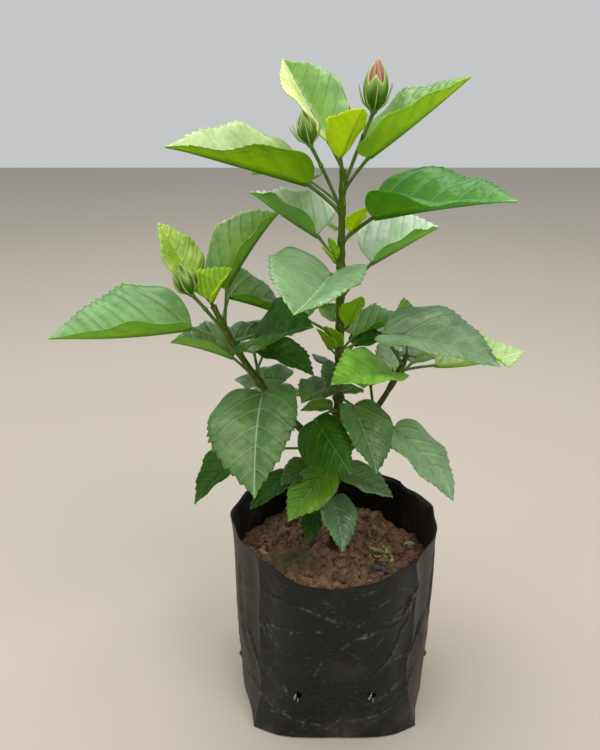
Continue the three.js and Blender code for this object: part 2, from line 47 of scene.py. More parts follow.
def heading(length, bearing, rise):
    # a vector of this length: bearing turns from +X towards +Y, rise lifts it towards +Z, both in degrees
    b, r = np.radians(bearing), np.radians(rise)
    return length * np.array([np.cos(r) * np.cos(b), np.cos(r) * np.sin(b), np.sin(r)])


def unit(v):
    # the vector or vectors divided by their length
    return v / np.maximum(np.linalg.norm(v, axis=-1, keepdims=True), 1e-12)


# Meshes: a shape is (points, face arrays, uv, slot of each face array).


def gridFaces(rows, columns, around=False):
    # quads of a grid whose points run row by row; around joins the last column to the first
    r, c = np.meshgrid(np.arange(rows - 1), np.arange(columns if around else columns - 1), indexing="ij")
    d = (c + 1) % columns
    quads = [r * columns + c, r * columns + d, (r + 1) * columns + d, (r + 1) * columns + c]
    return np.stack(quads, -1).reshape(-1, 4)


def roundFaces(rings, n):
    # quads round rings of n points each, and triangles to the two end points that follow them
    j = np.arange(n)
    k = (j + 1) % n
    first = np.stack([np.full(n, rings * n), k, j], -1)
    last = np.stack([np.full(n, rings * n + 1), (rings - 1) * n + j, (rings - 1) * n + k], -1)
    return [gridFaces(rings, n, around=True), first, last]


def joinShapes(shapes):
    # several shapes as one: each one's faces are counted on from the points before it
    points, faces, uvs, slots, start = [], [], [], [], 0
    for shapePoints, shapeFaces, uv, shapeSlots in shapes:
        points.append(shapePoints)
        uvs.append(uv)
        for array, slot in zip(shapeFaces, shapeSlots):
            faces.append(array + start)
            slots.append(slot)
        start += len(shapePoints)
    return np.vstack(points), faces, np.vstack(uvs), slots


def makePiece(name, shape, materials, replaced=(), attributes=None):
    # one mesh object at the origin; points in millimetres
    # an attribute is one number for each point, and None stands for 0 everywhere
    points, faces, uv, slots = shape
    mesh = bpy.data.meshes.new(name)
    loops = np.concatenate([f.ravel() for f in faces]).astype(np.int32)
    sizes = np.concatenate([np.full(len(f), f.shape[1]) for f in faces]).astype(np.int32)
    looks = np.concatenate([np.full(len(f), s) for f, s in zip(faces, slots)]).astype(np.int32)
    mesh.vertices.add(len(points))
    mesh.vertices.foreach_set("co", (points * mm).ravel())
    mesh.loops.add(len(loops))
    mesh.loops.foreach_set("vertex_index", loops)
    mesh.polygons.add(len(sizes))
    mesh.polygons.foreach_set("loop_start", np.concatenate([[0], np.cumsum(sizes)[:-1]]).astype(np.int32))
    mesh.polygons.foreach_set("material_index", looks)
    mesh.polygons.foreach_set("use_smooth", np.full(len(sizes), True))
    mesh.uv_layers.new(name="UVMap").data.foreach_set("uv", uv[loops].ravel())
    for key, values in (attributes or {}).items():
        values = np.zeros(len(points)) if values is None else values
        mesh.attributes.new(key, "FLOAT", "POINT").data.foreach_set("value", values)
    for material in materials:
        mesh.materials.append(material)
    mesh.update(calc_edges=True)
    mesh.validate()
    piece = bpy.data.objects.new(name, mesh)
    bpy.context.scene.collection.objects.link(piece)
    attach(piece, "root")
    if replaced:
        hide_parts(*replaced)
    print(name, len(points), "points", int((sizes - 2).sum()), "triangles")
    return piece


def closedRound(rows):
    # rings of points, first to last, closed by the middle of each end ring
    points = np.vstack([rows.reshape(-1, 3), rows[0].mean(0)[None], rows[-1].mean(0)[None]])
    return points, roundFaces(*rows.shape[:2]), points[:, :2] * 0, [0, 0, 0]


def tubeShape(path, radii, sides=10, slot=0, flatten=1.0):
    # rings round the path's points, square to it and carried along by the smallest turn, closed by end points
    # radii is one radius for each ring, or one for each of its points
    path = np.asarray(path, float)
    n = len(path)
    along = unit(np.gradient(path, axis=0))
    u = np.zeros((n, 3))
    start = np.array([1.0, 0, 0]) if abs(along[0, 2]) > 0.9 else np.array([0, 0, 1.0])
    u[0] = unit(start - along[0] * (start @ along[0]))
    for i in range(1, n):
        u[i] = unit(u[i - 1] - along[i] * (u[i - 1] @ along[i]))
    w = np.cross(along, u)
    turn = tau * np.arange(sides) / sides
    cos, sin = np.cos(turn)[:, None], np.sin(turn)[:, None]
    radii = np.asarray(radii, float)
    radii = radii[:, None] * np.ones(sides) if radii.ndim == 1 else radii
    ring = radii[..., None] * (cos * u[:, None] + flatten * sin * w[:, None])
    points = np.vstack([(path[:, None] + ring).reshape(-1, 3), path[:1], path[-1:]])
    reach = np.concatenate([[0], np.cumsum(np.linalg.norm(np.diff(path, axis=0), axis=1))])
    uv = np.stack(np.broadcast_arrays(turn[None, :] / tau, reach[:, None]), -1).reshape(-1, 2)
    uv = np.vstack([uv, [[0.5, 0]], [[0.5, reach[-1]]]])
    return points, roundFaces(n, sides), uv, [slot] * 3


def spinRows(turn):
    # turns row vectors round +Z by this angle
    c, s = np.cos(turn), np.sin(turn)
    return np.array([[c, s, 0], [-s, c, 0], [0, 0, 1]])


def arc(start, end, bow, count):
    # a quadratic curve whose middle handle is lifted by bow
    t = np.linspace(0, 1, count)[:, None]
    middle = (start + end) / 2 + bow
    return (1 - t) ** 2 * start + 2 * t * (1 - t) * middle + t**2 * end


# Materials. MapRange takes its value on socket 0 and from, to, value there, value here on sockets 1 to 4.
# Two settings that many nodes share:
smooth = {"interpolation_type": "SMOOTHSTEP"}
colours = {"data_type": "RGBA"}


def addNode(tree, kind, settings=None, values=None, links=None):
    # one node: settings are its own, values go on its sockets, links bring other nodes' outputs to them
    node = tree.nodes.new("ShaderNode" + kind)
    for key, value in (settings or {}).items():
        setattr(node, key, value)
    for key, value in (values or {}).items():
        node.inputs[key].default_value = value
    for key, source in (links or {}).items():
        tree.links.new(source.outputs[0] if hasattr(source, "outputs") else source, node.inputs[key])
    return node


def newMaterial(name):
    # a material, its nodes and the node of its surface
    material = bpy.data.materials.new(name)
    material.use_nodes = True
    tree = material.node_tree
    return material, tree, tree.nodes["Principled BSDF"]


def plainMaterial(name, colour, roughness):
    # one colour and one roughness all over
    material, _, surface = newMaterial(name)
    surface.inputs["Base Color"].default_value = linear(colour)
    surface.inputs["Roughness"].default_value = roughness
    return material


def colourRamp(tree, source, stops):
    # stops are places from 0 to 1 with a colour each
    node = addNode(tree, "ValToRGB", links={"Fac": source})
    ramp = node.color_ramp
    while len(ramp.elements) < len(stops):
        ramp.elements.new(0.5)
    for element, (place, colour) in zip(ramp.elements, stops):
        element.position = place
        element.color = linear(colour)
    return node


# The camera, fitted to the bag's rim and base in the photo.
view = {
    "place": (-0.0235, -0.476, 0.425),  # metres
    "down": 21.5,  # degrees under level
    "lens": 38.4,  # mm, for a sensor 36 mm along the picture's longer side
    "sensor": 36,
    "nearest": 0.01,  # metres
}


def makeCamera():
    # it looks towards +Y, turned down from level
    lens = bpy.data.cameras.new("camera")
    lens.lens = view["lens"]
    lens.sensor_width = view["sensor"]
    lens.clip_start = view["nearest"]
    camera = bpy.data.objects.new("camera", lens)
    camera.location = view["place"]
    camera.rotation_euler = (np.radians(90 - view["down"]), 0, 0)
    bpy.context.scene.collection.objects.link(camera)
    bpy.context.scene.camera = camera


makeCamera()
print("camera")


# The limbs, by the rule of the model's source: the stem bows to the left below bowEnd and flares at the soil.
stem = {
    "x": 1.4, "foot": 107.3, "tip": 366, "rootRadius": 3.7, "tipRadius": 1.8, "taper": 0.8,
    "bow": 4.5, "bowEnd": 172, "flare": 3.2, "flareHeight": 4.5,
}
# A bough leaves the stem at the height root; its rise grows from the first angle to the second.
boughs = {
    "left_bough": {"root": 177, "bearing": -165.4, "rise": (42, 68), "length": 139, "radius": (2.7, 1.6)},
    "right_bough": {"root": 181, "bearing": -12.8, "rise": (50, 70), "length": 86, "radius": (2.3, 1.4)},
}


def stemPoint(z):
    # upright, and bowed to the left by the square of a sine below bowEnd
    z = np.asarray(z, float)
    turn = np.pi * (z - stem["foot"]) / (stem["bowEnd"] - stem["foot"])
    low = np.where(z < stem["bowEnd"], np.sin(turn) ** 2, 0)
    return np.stack([stem["x"] - stem["bow"] * low, 0 * z, z], -1)


def stemRadius(z):
    # from root to tip by the height to a power, with a flare that fades away upwards
    t = np.clip((z - stem["foot"]) / (stem["tip"] - stem["foot"]), 0, 1)
    spread = stem["flare"] * np.exp(-(z - stem["foot"]) / stem["flareHeight"])
    return stem["rootRadius"] + (stem["tipRadius"] - stem["rootRadius"]) * t ** stem["taper"] + spread


def boughPoint(bough, s, steps=40):
    # the rise grows evenly along the bough, so its path is the sum of small steps
    s = np.atleast_1d(np.asarray(s, float))
    share = (np.arange(steps) + 0.5) / steps * (s[:, None] / bough["length"])
    rise = np.radians(bough["rise"][0] + (bough["rise"][1] - bough["rise"][0]) * share)
    out, lift = np.cos(rise).mean(1) * s, np.sin(rise).mean(1) * s
    b = np.radians(bough["bearing"])
    return stemPoint(bough["root"]) + np.stack([out * np.cos(b), out * np.sin(b), lift], -1)


def boughRadius(bough, s):
    # falls evenly from root to tip; s is the way along the bough
    return bough["radius"][0] + (bough["radius"][1] - bough["radius"][0]) * s / bough["length"]


def limbPoint(limb, at):
    # at is the height on the trunk, or the way along a bough
    return stemPoint(at) if limb == "trunk" else boughPoint(boughs[limb], at)[0]


def limbRadius(limb, at):
    # the radius at that height or way along
    return float(stemRadius(at) if limb == "trunk" else boughRadius(boughs[limb], at))


def limbEnd(limb):
    # the height of the trunk's tip, or the length of a bough
    return stem["tip"] if limb == "trunk" else boughs[limb]["length"]


# The leaves, by the rule of the model's source: each spray grows from one place on a limb.
# A stalk and a blade are each a length, a bearing and a rise.
# The halves are left and right as seen from above, looking from base to tip.
leafRule = {
    "roll": 0,  # degrees that the blade is turned round its midrib
    "fold": 20,  # degrees that each half rises from it
    "bend": 12,  # degrees that the midrib arches over from base to tip
    "full": 0.42,  # less is broader near the base
    "taper": 0.76,  # more is slimmer near the tip
    "lobe": 0.4,  # how far the halves reach back past the stalk
    "skew": 0,  # share by which the right half is wider and the left one narrower
    "ratio": 0.69,  # of width to length, for a row that gives no width
    "opens": (0.15, 0.15, 0.4, 0.9),  # share of the fold that each half loses, and from where to where
    "second": None,  # tone of the right half, where the halves differ by a painted sheen on one of them
}
leafLook = {
    "columns": (0, 0.15, 0.34, 0.55, 0.74, 0.89, 1),  # points from midrib to margin, of the half-width
    "thickness": 0.42,  # mm, a little more than the real 0.3
    "toothDepth": (0.4, 0.012),  # mm, and of the blade's length
    "grown": 55,  # mm, length of a full-grown blade; the relief is lower on a shorter one
    "plainStations": (18, 1.8),  # on the margin below the teeth: how many, and how crowded towards the stalk
    "inTooth": (0, 0.45, 0.86, 0.95),  # places in a tooth, of its length
    "toothShape": (0, 0.55, 1, 0.4),  # how far the margin stands out there, of the tooth's depth
    "uneven": 0.3,  # how much the teeth vary in length and depth
    "toothSpacing": (2.0, 4.0),  # mm along the midrib on the smallest leaf and on a full-grown one
    "teeth": (6, 15),  # fewest and most to a side
    "toothStart": 0.3,  # teeth stand on the rest of the margin
    "tipSharp": 0.26,  # how much the tip is drawn out
    "crown": 0.06,  # how far each half bulges up, of its width
    "quilt": 1.2,  # mm that the leaf rises between its side veins
    "roundness": (0.4, 0.02),  # share of the row's lobe that is used, and what is added to its fullness
    "wave": 1.3,  # mm that the margin waves up and down
    "waves": (2.7, 3.1, 0.8),  # along the left margin, the right one, and a slow one along both
    "groove": 0.35,  # mm, along the midrib
    "droop": 0.02,  # how far the tip hangs, of the length
    "ribThickness": 1.8,  # the midrib is thicker than the blade by this share
    "veinSpacing": 0.19,  # of the blade's length, along the midrib
    "veinSlant": (0.8, 0.6),  # how far forward a side vein runs, evenly and with the square of its way out
}


def leafRow(stalk, blade, width=None, tone="mid", **other):
    # one leaf: the rule, and what differs from it
    width = width or leafRule["ratio"] * blade[0]
    return {**leafRule, "stalk": stalk, "blade": blade, "width": width, "tone": tone, **other}


sprays = [
    ("tip_spray", "trunk", 366, [
        leafRow((18, 144, 55), (67, 124, 43), 48, "yellow_painted_sheen", second="fresh", roll=14, fold=50, bend=-6,
                taper=0.86, opens=(0.3, 0.15, 0.2, 0.8)),
        leafRow((7.4, -116, 62), (41, -70, 45), 29, "lime", fold=38, bend=5, full=0.6, lobe=0)]),
    ("upper_right_bud_spray", "trunk", 354, [
        leafRow((25, -23, 51), (69, -17, 39), 50, "fresh", roll=-11, fold=36, bend=-5, full=0.46,
                lobe=0.3)]),
    ("upper_left_bud_spray", "trunk", 341, [
        leafRow((27, -170, 39), (85, -160, 17), 55, "pale", roll=1, fold=44, bend=0, full=0.46,
                taper=0.8, lobe=0.1, skew=0.06, opens=(0.5, -0.15, 0.3, 0.75))]),
    ("upper_right_spray", "trunk", 324, [
        leafRow((24, -13, 38), (87, -34, 12), 61, "rich", fold=54, roll=-13, bend=4, full=0.5, lobe=0.1,
                opens=(0.6, 0.6, 0.1, 0.6)),
        leafRow((8, -20, 45), (23, -63, 48), 14, "lime", bend=2, full=0.7, lobe=0)]),
    ("back_left_spray", "trunk", 308, [
        leafRow((26, 135, 39), (66, 134, 18), 47, "grey_painted_sheen", roll=10, fold=58, bend=-8, full=0.3,
                taper=0.9, lobe=0.6, skew=-0.1)]),
    ("young_left_spray", "trunk", 308, [
        leafRow((6, -144, 55), (17, -130, 63), 8, "young", bend=2, full=0.8, lobe=0),
        leafRow((5, -150, 40), (14, -168, 50), 5, "lime", bend=4, full=0.8, lobe=0)]),
    ("front_spray", "trunk", 292, [
        leafRow((32, -105, 34), (81, -105, 0), 57, "soft", roll=8, fold=28, bend=-8, full=0.5, lobe=0.7,
                skew=0.1)]),
    ("back_right_spray", "trunk", 289, [
        leafRow((29, 22, 43), (64, 41, 13), 46, "grey_painted_sheen", roll=-9, fold=53, bend=0, skew=-0.15)]),
    ("young_back_spray", "trunk", 270, [
        leafRow((7, 110, 15), (24, 113, 15), 17, "fresh")]),
    ("young_right_spray", "trunk", 266, [
        leafRow((8, -35, 40), (28, -64, 57), 19, "bright", fold=27, bend=4, full=0.7, lobe=0)]),
    ("middle_right_spray", "trunk", 254, [
        leafRow((12, 27, 36), (43, 36, 7), 25, "plain", roll=-14, fold=60, full=0.5, lobe=0, skew=-0.2,
                opens=(0, 0, 0.4, 0.9)),
        leafRow((10, 8, 22), (27, 24, 5), 19, "shade", roll=-12, bend=14)]),
    ("middle_left_spray", "trunk", 250, [
        leafRow((10, -120, 60), (20, -126, 55), 14, "bright", fold=26, bend=3),
        leafRow((13, -130, 39), (19, -140, 56), 13, "bright", fold=24, bend=2)]),
    ("middle_front_spray", "trunk", 240, [
        leafRow((17, -102, 32), (24, -104, -21), 17, "deep", roll=11, fold=29, bend=23)]),
    ("low_left_spray", "trunk", 222, [
        leafRow((12, -131, 58), (40, -120, 5), 28, "deep", roll=8, fold=13, bend=20)]),
    ("low_right_spray", "trunk", 222, [
        leafRow((29, -75, 12), (46, -69, -38), 34, "deep", roll=10, fold=15, bend=21, full=0.48,
                skew=-0.1)]),
    ("low_back_right_spray", "trunk", 222, [
        leafRow((8, 55, 5), (21, 52, -11), 14, "plain", roll=-10, fold=13)]),
    ("low_young_spray", "trunk", 210, [
        leafRow((7, -151, 49), (21, -169, 1), 15, "fresh", roll=13, fold=32, bend=1)]),
    ("low_front_spray", "trunk", 214, [
        leafRow((37, -116, 11), (45, -60, -24), 32, "shade", roll=-30, fold=-14, bend=18, full=0.42,
                skew=0.2)]),
    ("foot_right_spray", "trunk", 191, [
        leafRow((43, -29, 25), (59, -48, -31), 40, "soft", roll=6, fold=10, bend=21)]),
    ("foot_left_spray", "trunk", 169, [
        leafRow((31, -107, 27), (41, -134, -32), 29, "bright", roll=6, fold=-3, full=0.45),
        leafRow((19, -142, 28), (32, -138, -4), 24, "deep", roll=7, fold=13, bend=21)]),
    ("foot_right_low_spray", "trunk", 163, [
        leafRow((19, -75, 38), (36, -19, -19), 26, "soft", roll=-9)]),
    ("foot_left_low_spray", "trunk", 160, [
        leafRow((40, -153, 22), (32, -150, -35), 22, "shade", fold=4, bend=15)]),
    ("foot_front_spray", "trunk", 153, [
        leafRow((23, -93, 20), (38, -79, -34), 26, "mid", roll=17, fold=10, bend=25)]),
    ("foot_young_spray", "trunk", 144, [
        leafRow((18, -127, 7), (22, -106, -45), 15, "shade", fold=13, bend=22)]),
    ("left_foot_spray", "left_bough", 15, [
        leafRow((55, -157, 8), (45, -155, -41), 33, "shade", fold=22, bend=18)]),
    ("left_front_spray", "left_bough", 52, [
        leafRow((42, -113, 39), (71, -92, -30), 52, "deep", roll=-13, fold=8, bend=37, full=0.5,
                taper=0.88, lobe=0.55, skew=0.08)]),
    ("left_back_low_spray", "left_bough", 69, [
        leafRow((22, 64, 6), (43, 147, -11), 30, "soft", roll=10, fold=7, bend=8)]),
    ("left_inner_low_spray", "left_bough", 86, [
        leafRow((17, 42, 58), (39, -38, -11), 27, "shade", roll=-8, bend=28)]),
    ("left_outer_low_spray", "left_bough", 80, [
        leafRow((24, 150, 33), (48, 152, 3), 36, "mid", roll=12, fold=53, bend=15)]),
    ("left_inner_spray", "left_bough", 104, [
        leafRow((13, -18, 39), (59, -50, 23), 47, "shade", roll=-31, fold=24, bend=14, lobe=0.3)]),
    ("left_outer_bud_spray", "left_bough", 111, [
        leafRow((27, 174, 20), (84, -168, 0), 61, "wing", roll=9, fold=41, bend=-13, full=0.46, lobe=0.1,
                skew=0.12)]),
    ("left_back_spray", "left_bough", 118, [
        leafRow((16, 83, -32), (43, 30, -4), 30, "deep", bend=14)]),
    ("left_upper_spray", "left_bough", 124, [
        leafRow((24, 64, 78), (56, 40, 45), 38, "plain", roll=-9, fold=64, bend=18, full=0.5, taper=0.68,
                skew=-0.2, opens=(0, 0, 0.4, 0.9))]),
    ("left_behind_spray", "left_bough", 127, [
        leafRow((24, 82, 24), (58, 39, -26), 41, "deep", roll=-15, fold=35, bend=9, skew=-0.1)]),
    ("left_tip_spray", "left_bough", 139, [
        leafRow((15, 177, 49), (43, 156, 57), 27, "young", roll=21, fold=14, bend=14, full=0.55, lobe=0),
        leafRow((6, -91, 38), (23, 20, 56), 34, "lime", roll=-15, fold=40, bend=10, full=0.35, lobe=0.2)]),
    ("right_behind_spray", "right_bough", 66, [
        leafRow((13, 87, 5), (32, 96, 27), 20, "grey_painted_sheen", roll=-7, fold=13)]),
    ("right_inner_spray", "right_bough", 71, [
        leafRow((8, -120, 22), (54, -138, 8), 40, "glow", roll=15, fold=22, bend=22, full=0.38, lobe=0)]),
    ("right_outer_spray", "right_bough", 74, [
        leafRow((23, 6, 6), (60, 13, 5), 46, "sunny", roll=-12, fold=40, bend=-28, full=0.5, lobe=0,
                skew=-0.05, opens=(0.2, 0.85, 0.45, 0.8))]),
    ("right_large_spray", "right_bough", 79, [
        leafRow((29, -144, 52), (72, -26, -7), 52, "mid", second="soft", roll=-13, fold=16, bend=31,
                lobe=0.2, skew=-0.1)]),
    ("right_tip_spray", "right_bough", 86, [
        leafRow((14, 99, 72), (22, 97, 60), 16, "bright", fold=30, bend=5),
        leafRow((6, -31, -10), (14, -12, 15), 10, "young", fold=13, bend=6)]),
]

# The side away from the viewer: limb, place, bearing, rise and length of the blade, length of the stalk.
rearLeaves = [
    ("trunk", 345, 140, 0, 48, 28), ("trunk", 316, 90, -12, 58, 28), ("trunk", 281, 100, -25, 64, 20),
    ("trunk", 262, 145, -22, 56, 28), ("trunk", 244, 60, -12, 66, 30), ("trunk", 229, 85, -25, 62, 20),
    ("trunk", 205, 115, -24, 66, 28), ("trunk", 181, 20, -25, 62, 20), ("trunk", 160, 90, -25, 56, 26),
    ("left_bough", 46, 132, -18, 46, 20), ("left_bough", 80, 100, -12, 60, 28),
    ("right_bough", 40, 90, -24, 60, 28), ("right_bough", 62, 50, -14, 58, 26),
]
rear = {"stalkRise": 26, "ofBladeRise": 0.4, "bend": 18, "tones": ("mid", "fresh", "deep")}
for i, (limb, at, bearing, rise, length, stalkLength) in enumerate(rearLeaves):
    stalk = (stalkLength, bearing, rear["stalkRise"] + rear["ofBladeRise"] * rise)
    row = leafRow(stalk, (length, bearing, rise), tone=rear["tones"][i % 3], bend=rear["bend"])
    sprays.append((f"rear_spray_{i + 1}", limb, at, [row]))


def bladeFrame(leaf, base):
    # the midrib is an arc in the plane of the blade's heading and its upper side
    length, bearing, rise = leaf["blade"]
    along = heading(1, bearing, rise)
    level = np.array([np.sin(np.radians(bearing)), -np.cos(np.radians(bearing)), 0])
    over = np.cross(level, along)
    turn = np.radians(leaf["roll"])
    side = level * np.cos(turn) + over * np.sin(turn)
    top = over * np.cos(turn) - level * np.sin(turn)
    bend = np.radians(leaf["bend"] if abs(leaf["bend"]) > 0.5 else 0.5)
    start = along * np.cos(bend / 2) + top * np.sin(bend / 2)
    startTop = top * np.cos(bend / 2) - along * np.sin(bend / 2)
    arcLength = length * (bend / 2) / np.sin(bend / 2)

    def rib(x):
        # the midrib's point at this share of its length
        x = np.asarray(x)[..., None]
        return base + arcLength / bend * (start * np.sin(bend * x) - startTop * (1 - np.cos(bend * x)))

    def upper(x):
        # the direction out of the upper side there
        x = np.asarray(x)[..., None]
        return startTop * np.cos(bend * x) + start * np.sin(bend * x)

    return side, rib, upper


def bladeStations(teeth, rng):
    # places along the margin: a plain base, closer where it curves most, then four to each tooth
    # a tooth leans forward and stands out by its shape; both lists vary by the seeded numbers
    start, uneven = leafLook["toothStart"], leafLook["uneven"]
    count, crowding = leafLook["plainStations"]
    plain = start * (np.arange(count) / count) ** crowding
    starts = np.cumsum(np.concatenate([[0], 1 + uneven * rng.uniform(-1, 1, teeth)]))
    starts = starts / starts[-1]
    t = (starts[:-1, None] + np.array(leafLook["inTooth"]) * np.diff(starts)[:, None]).ravel()
    saw = (np.array(leafLook["toothShape"]) * (1 + uneven * rng.uniform(-1, 1, (teeth, 1)))).ravel()
    return np.concatenate([plain, start + (1 - start) * t, [0.9985]]), np.concatenate([0 * plain, saw, [0]])


def sideVeinPlace(x, y):
    # counts side veins: x is the share along the midrib, y the way out from it, both of the blade's length
    return (x - leafLook["veinSlant"][0] * y - leafLook["veinSlant"][1] * y**2) / leafLook["veinSpacing"]


def leafSize(leaf):
    # 1 for a full-grown blade, less for a shorter one
    return min(1.0, leaf["blade"][0] / leafLook["grown"])


def bladeOutline(leaf, rng):
    # half-width p^full (1 - p)^taper, scaled to 1 at its widest, with teeth
    # p runs from base to tip and v from -1 at the left margin to 1 at the right one
    # x is the place along the midrib, and across is the way out from it in mm
    length = leaf["blade"][0]
    start = leafLook["toothStart"]
    least, most = leafLook["toothSpacing"]
    teeth = round((1 - start) * length / (least + (most - least) * leafSize(leaf)))
    p, saw = bladeStations(int(np.clip(teeth, *leafLook["teeth"])), rng)
    columns = leafLook["columns"]
    v = np.array([-c for c in columns[:0:-1]] + list(columns))
    p, v, saw = p[:, None], v[None, :], saw[:, None]
    full, taper = leaf["full"] + leafLook["roundness"][1], leaf["taper"]
    widest = full / (full + taper)
    drawn = taper + leafLook["tipSharp"] * np.clip((p - 0.5) / 0.5, 0, 1)
    shape = p**full * (1 - p) ** drawn / (widest**full * (1 - widest) ** taper)
    # the teeth start from nothing and are small again near the tip; each half has its own depth
    depth = leafLook["toothDepth"][0] + leafLook["toothDepth"][1] * length
    depth = depth * np.clip((p - start) / 0.15, 0, 1) * np.clip((1 - p) / 0.1, 0.2, 1)
    depth = depth * np.where(v < 0, 0.75 + 0.5 * rng.random(), 0.75 + 0.5 * rng.random())
    edge = np.abs(v) ** 10
    across = np.maximum(shape, 0.004) * leaf["width"] * np.abs(v) * (1 + np.sign(v) * leaf["skew"]) / 2
    across = np.maximum(across + depth * (saw - 0.45) * edge, 0.03 * np.abs(v))
    lobe = leaf["lobe"] * leafLook["roundness"][0]
    x = p - lobe * np.abs(v) * np.sin(np.pi * np.sqrt(p)) * (1 - p) ** 3 + 0.012 * v * np.sin(np.pi * p)
    x = x + depth / length * saw * edge * 0.6
    return p, v, x, across, shape


def bladeLift(leaf, p, v, x, across, shape, rng):
    # how far the blade rises from its two flat halves: a bulge, a swelling between each two side veins
    # and a waved margin, less a groove along the midrib and the droop of the tip
    length, size = leaf["blade"][0], leafSize(leaf)
    ease = 4 * np.abs(v) * (1 - np.abs(v))
    crown = leafLook["crown"] * leaf["width"] / 2 * shape * ease
    between = np.abs(np.sin(np.pi * sideVeinPlace(x, across / length))) ** 1.3
    quilt = leafLook["quilt"] * size * ease * between * np.minimum(shape * 1.5, 1)
    phase = rng.random(4) * tau
    left, right, both = leafLook["waves"]
    wave = np.where(v < 0, np.sin(tau * left * p + phase[0]), np.sin(tau * right * p + phase[1]))
    slow = np.sin(tau * both * p + phase[2]) * np.sign(v)
    margin = leafLook["wave"] * size * (wave + 0.8 * slow) * shape * np.abs(v) ** 2.2
    groove = leafLook["groove"] * size * np.exp(-((v / 0.05) ** 2)) * (1 - 0.7 * p)
    droop = leafLook["droop"] * length * np.clip((p - 0.8) / 0.2, 0, 1) ** 2 * (rng.random() - 0.1)
    return crown + quilt + margin - groove - droop


def bladeFaces(rows, columns):
    # triangles of the upper side's left and right half and of the under side, then quads round the rim
    n = rows * columns
    quads = gridFaces(rows, columns)
    underFaces = np.vstack([quads[:, [0, 1, 2]], quads[:, [0, 2, 3]]])
    topFaces = underFaces[:, ::-1]
    left = (topFaces % columns).sum(1) < 3 * (columns // 2)
    index = np.arange(n).reshape(rows, columns)
    border = np.concatenate([index[0, :], index[1:, -1], index[-1, -2::-1], index[-2:0:-1, 0]])
    after = np.roll(border, -1)
    rim = np.stack([border, border + n, after + n, after], -1)
    return [topFaces[left], topFaces[~left], underFaces + n, rim[:, ::-1]]


def bladeShape(leaf, base, slots, rng):
    # both halves rise from the midrib by the fold, and the under side lies one thickness lower
    p, v, x, across, shape = bladeOutline(leaf, rng)
    side, rib, upper = bladeFrame(leaf, base)
    # the fold opens out towards the tip, in each half by its own share
    leftShare, rightShare, start, end = leaf["opens"]
    gone = np.clip((p - start) / (end - start), 0, 1)
    gone = gone**2 * (3 - 2 * gone)
    fold = np.radians(leaf["fold"]) * (1 - np.where(v < 0, leftShare, rightShare) * gone)
    outwards = across * np.sign(v) * np.cos(fold)
    raised = across * np.sin(fold) + bladeLift(leaf, p, v, x, across, shape, rng)
    points = rib(x) + side * outwards[..., None] + upper(x) * raised[..., None]
    midrib = leafLook["ribThickness"] * np.exp(-((v / 0.07) ** 2)) * (1 - 0.8 * p)
    thickness = leafLook["thickness"] * (1 + midrib) / np.cos(fold)
    under = points - upper(x) * thickness[..., None]
    uv = np.stack([x, 0.5 + across * np.sign(v) / leaf["blade"][0]], -1).reshape(-1, 2)
    bothSides = np.vstack([points.reshape(-1, 3), under.reshape(-1, 3)])
    left, right, below = slots
    return bothSides, bladeFaces(*points.shape[:2]), np.vstack([uv, uv]), [left, right, below, below]


leafTones = {
    # upper side, its darker mottling, veins; under side; share of the full gloss
    "shade": ("#22540e", "#173e09", "#5c8c46", "#3f8010", 0.22),
    "deep": ("#406a3a", "#2f5429", "#8fb484", "#3f8a10", 0.6),
    "rich": ("#3c8430", "#2d7026", "#98c494", "#3f8c0c", 0.6),
    "mid": ("#4f7850", "#3c6240", "#a0c098", "#5c9a22", 1.0),
    "plain": ("#6c9c58", "#4f7e42", "#93b97e", "#5a9c1c", 1.0),
    # upper side greyed and paled by a painted soft sheen
    "soft": ("#6d946b", "#597f58", "#a4c2a0", "#5c9c12", 1.0),
    "wing": ("#5f9458", "#4a8046", "#92bf8c", "#58980e", 0.8),
    "fresh": ("#6a9a4c", "#528238", "#a6c986", "#86bc22", 1.0),
    "young": ("#86a832", "#6c8f20", "#c8dc78", "#8fc41e", 1.0),
    "bright": ("#569212", "#407a0a", "#98c24a", "#7bb01a", 1.0),
    # upper side paled by a painted sky sheen
    "pale": ("#a6c48c", "#86a66c", "#c0d4ac", "#649a0e", 1.0),
    # upper side grey-green, paled by a painted sky sheen
    "grey_painted_sheen": ("#cbe6cc", "#9cc0a0", "#e6f2e2", "#58a010", 1.0),
    "sunny": ("#a0c684", "#86ac68", "#c8dfae", "#88c408", 1.0),
    "lime": ("#86b41c", "#70a010", "#76920c", "#b9e01a", 0.5),
    "glow": ("#84c43c", "#4a8c1c", "#b4dc7c", "#8fc41e", 0.6),
    # upper side yellow-green, paled by a painted sky sheen
    "yellow_painted_sheen": ("#dff0a4", "#b4d070", "#eef6cc", "#8fb41c", 1.0),
}


def darker(hexText, share):
    # the same colour, each of its parts lowered to this share
    return "#" + "".join(f"{int(int(hexText[i : i + 2], 16) * share):02x}" for i in (1, 3, 5))


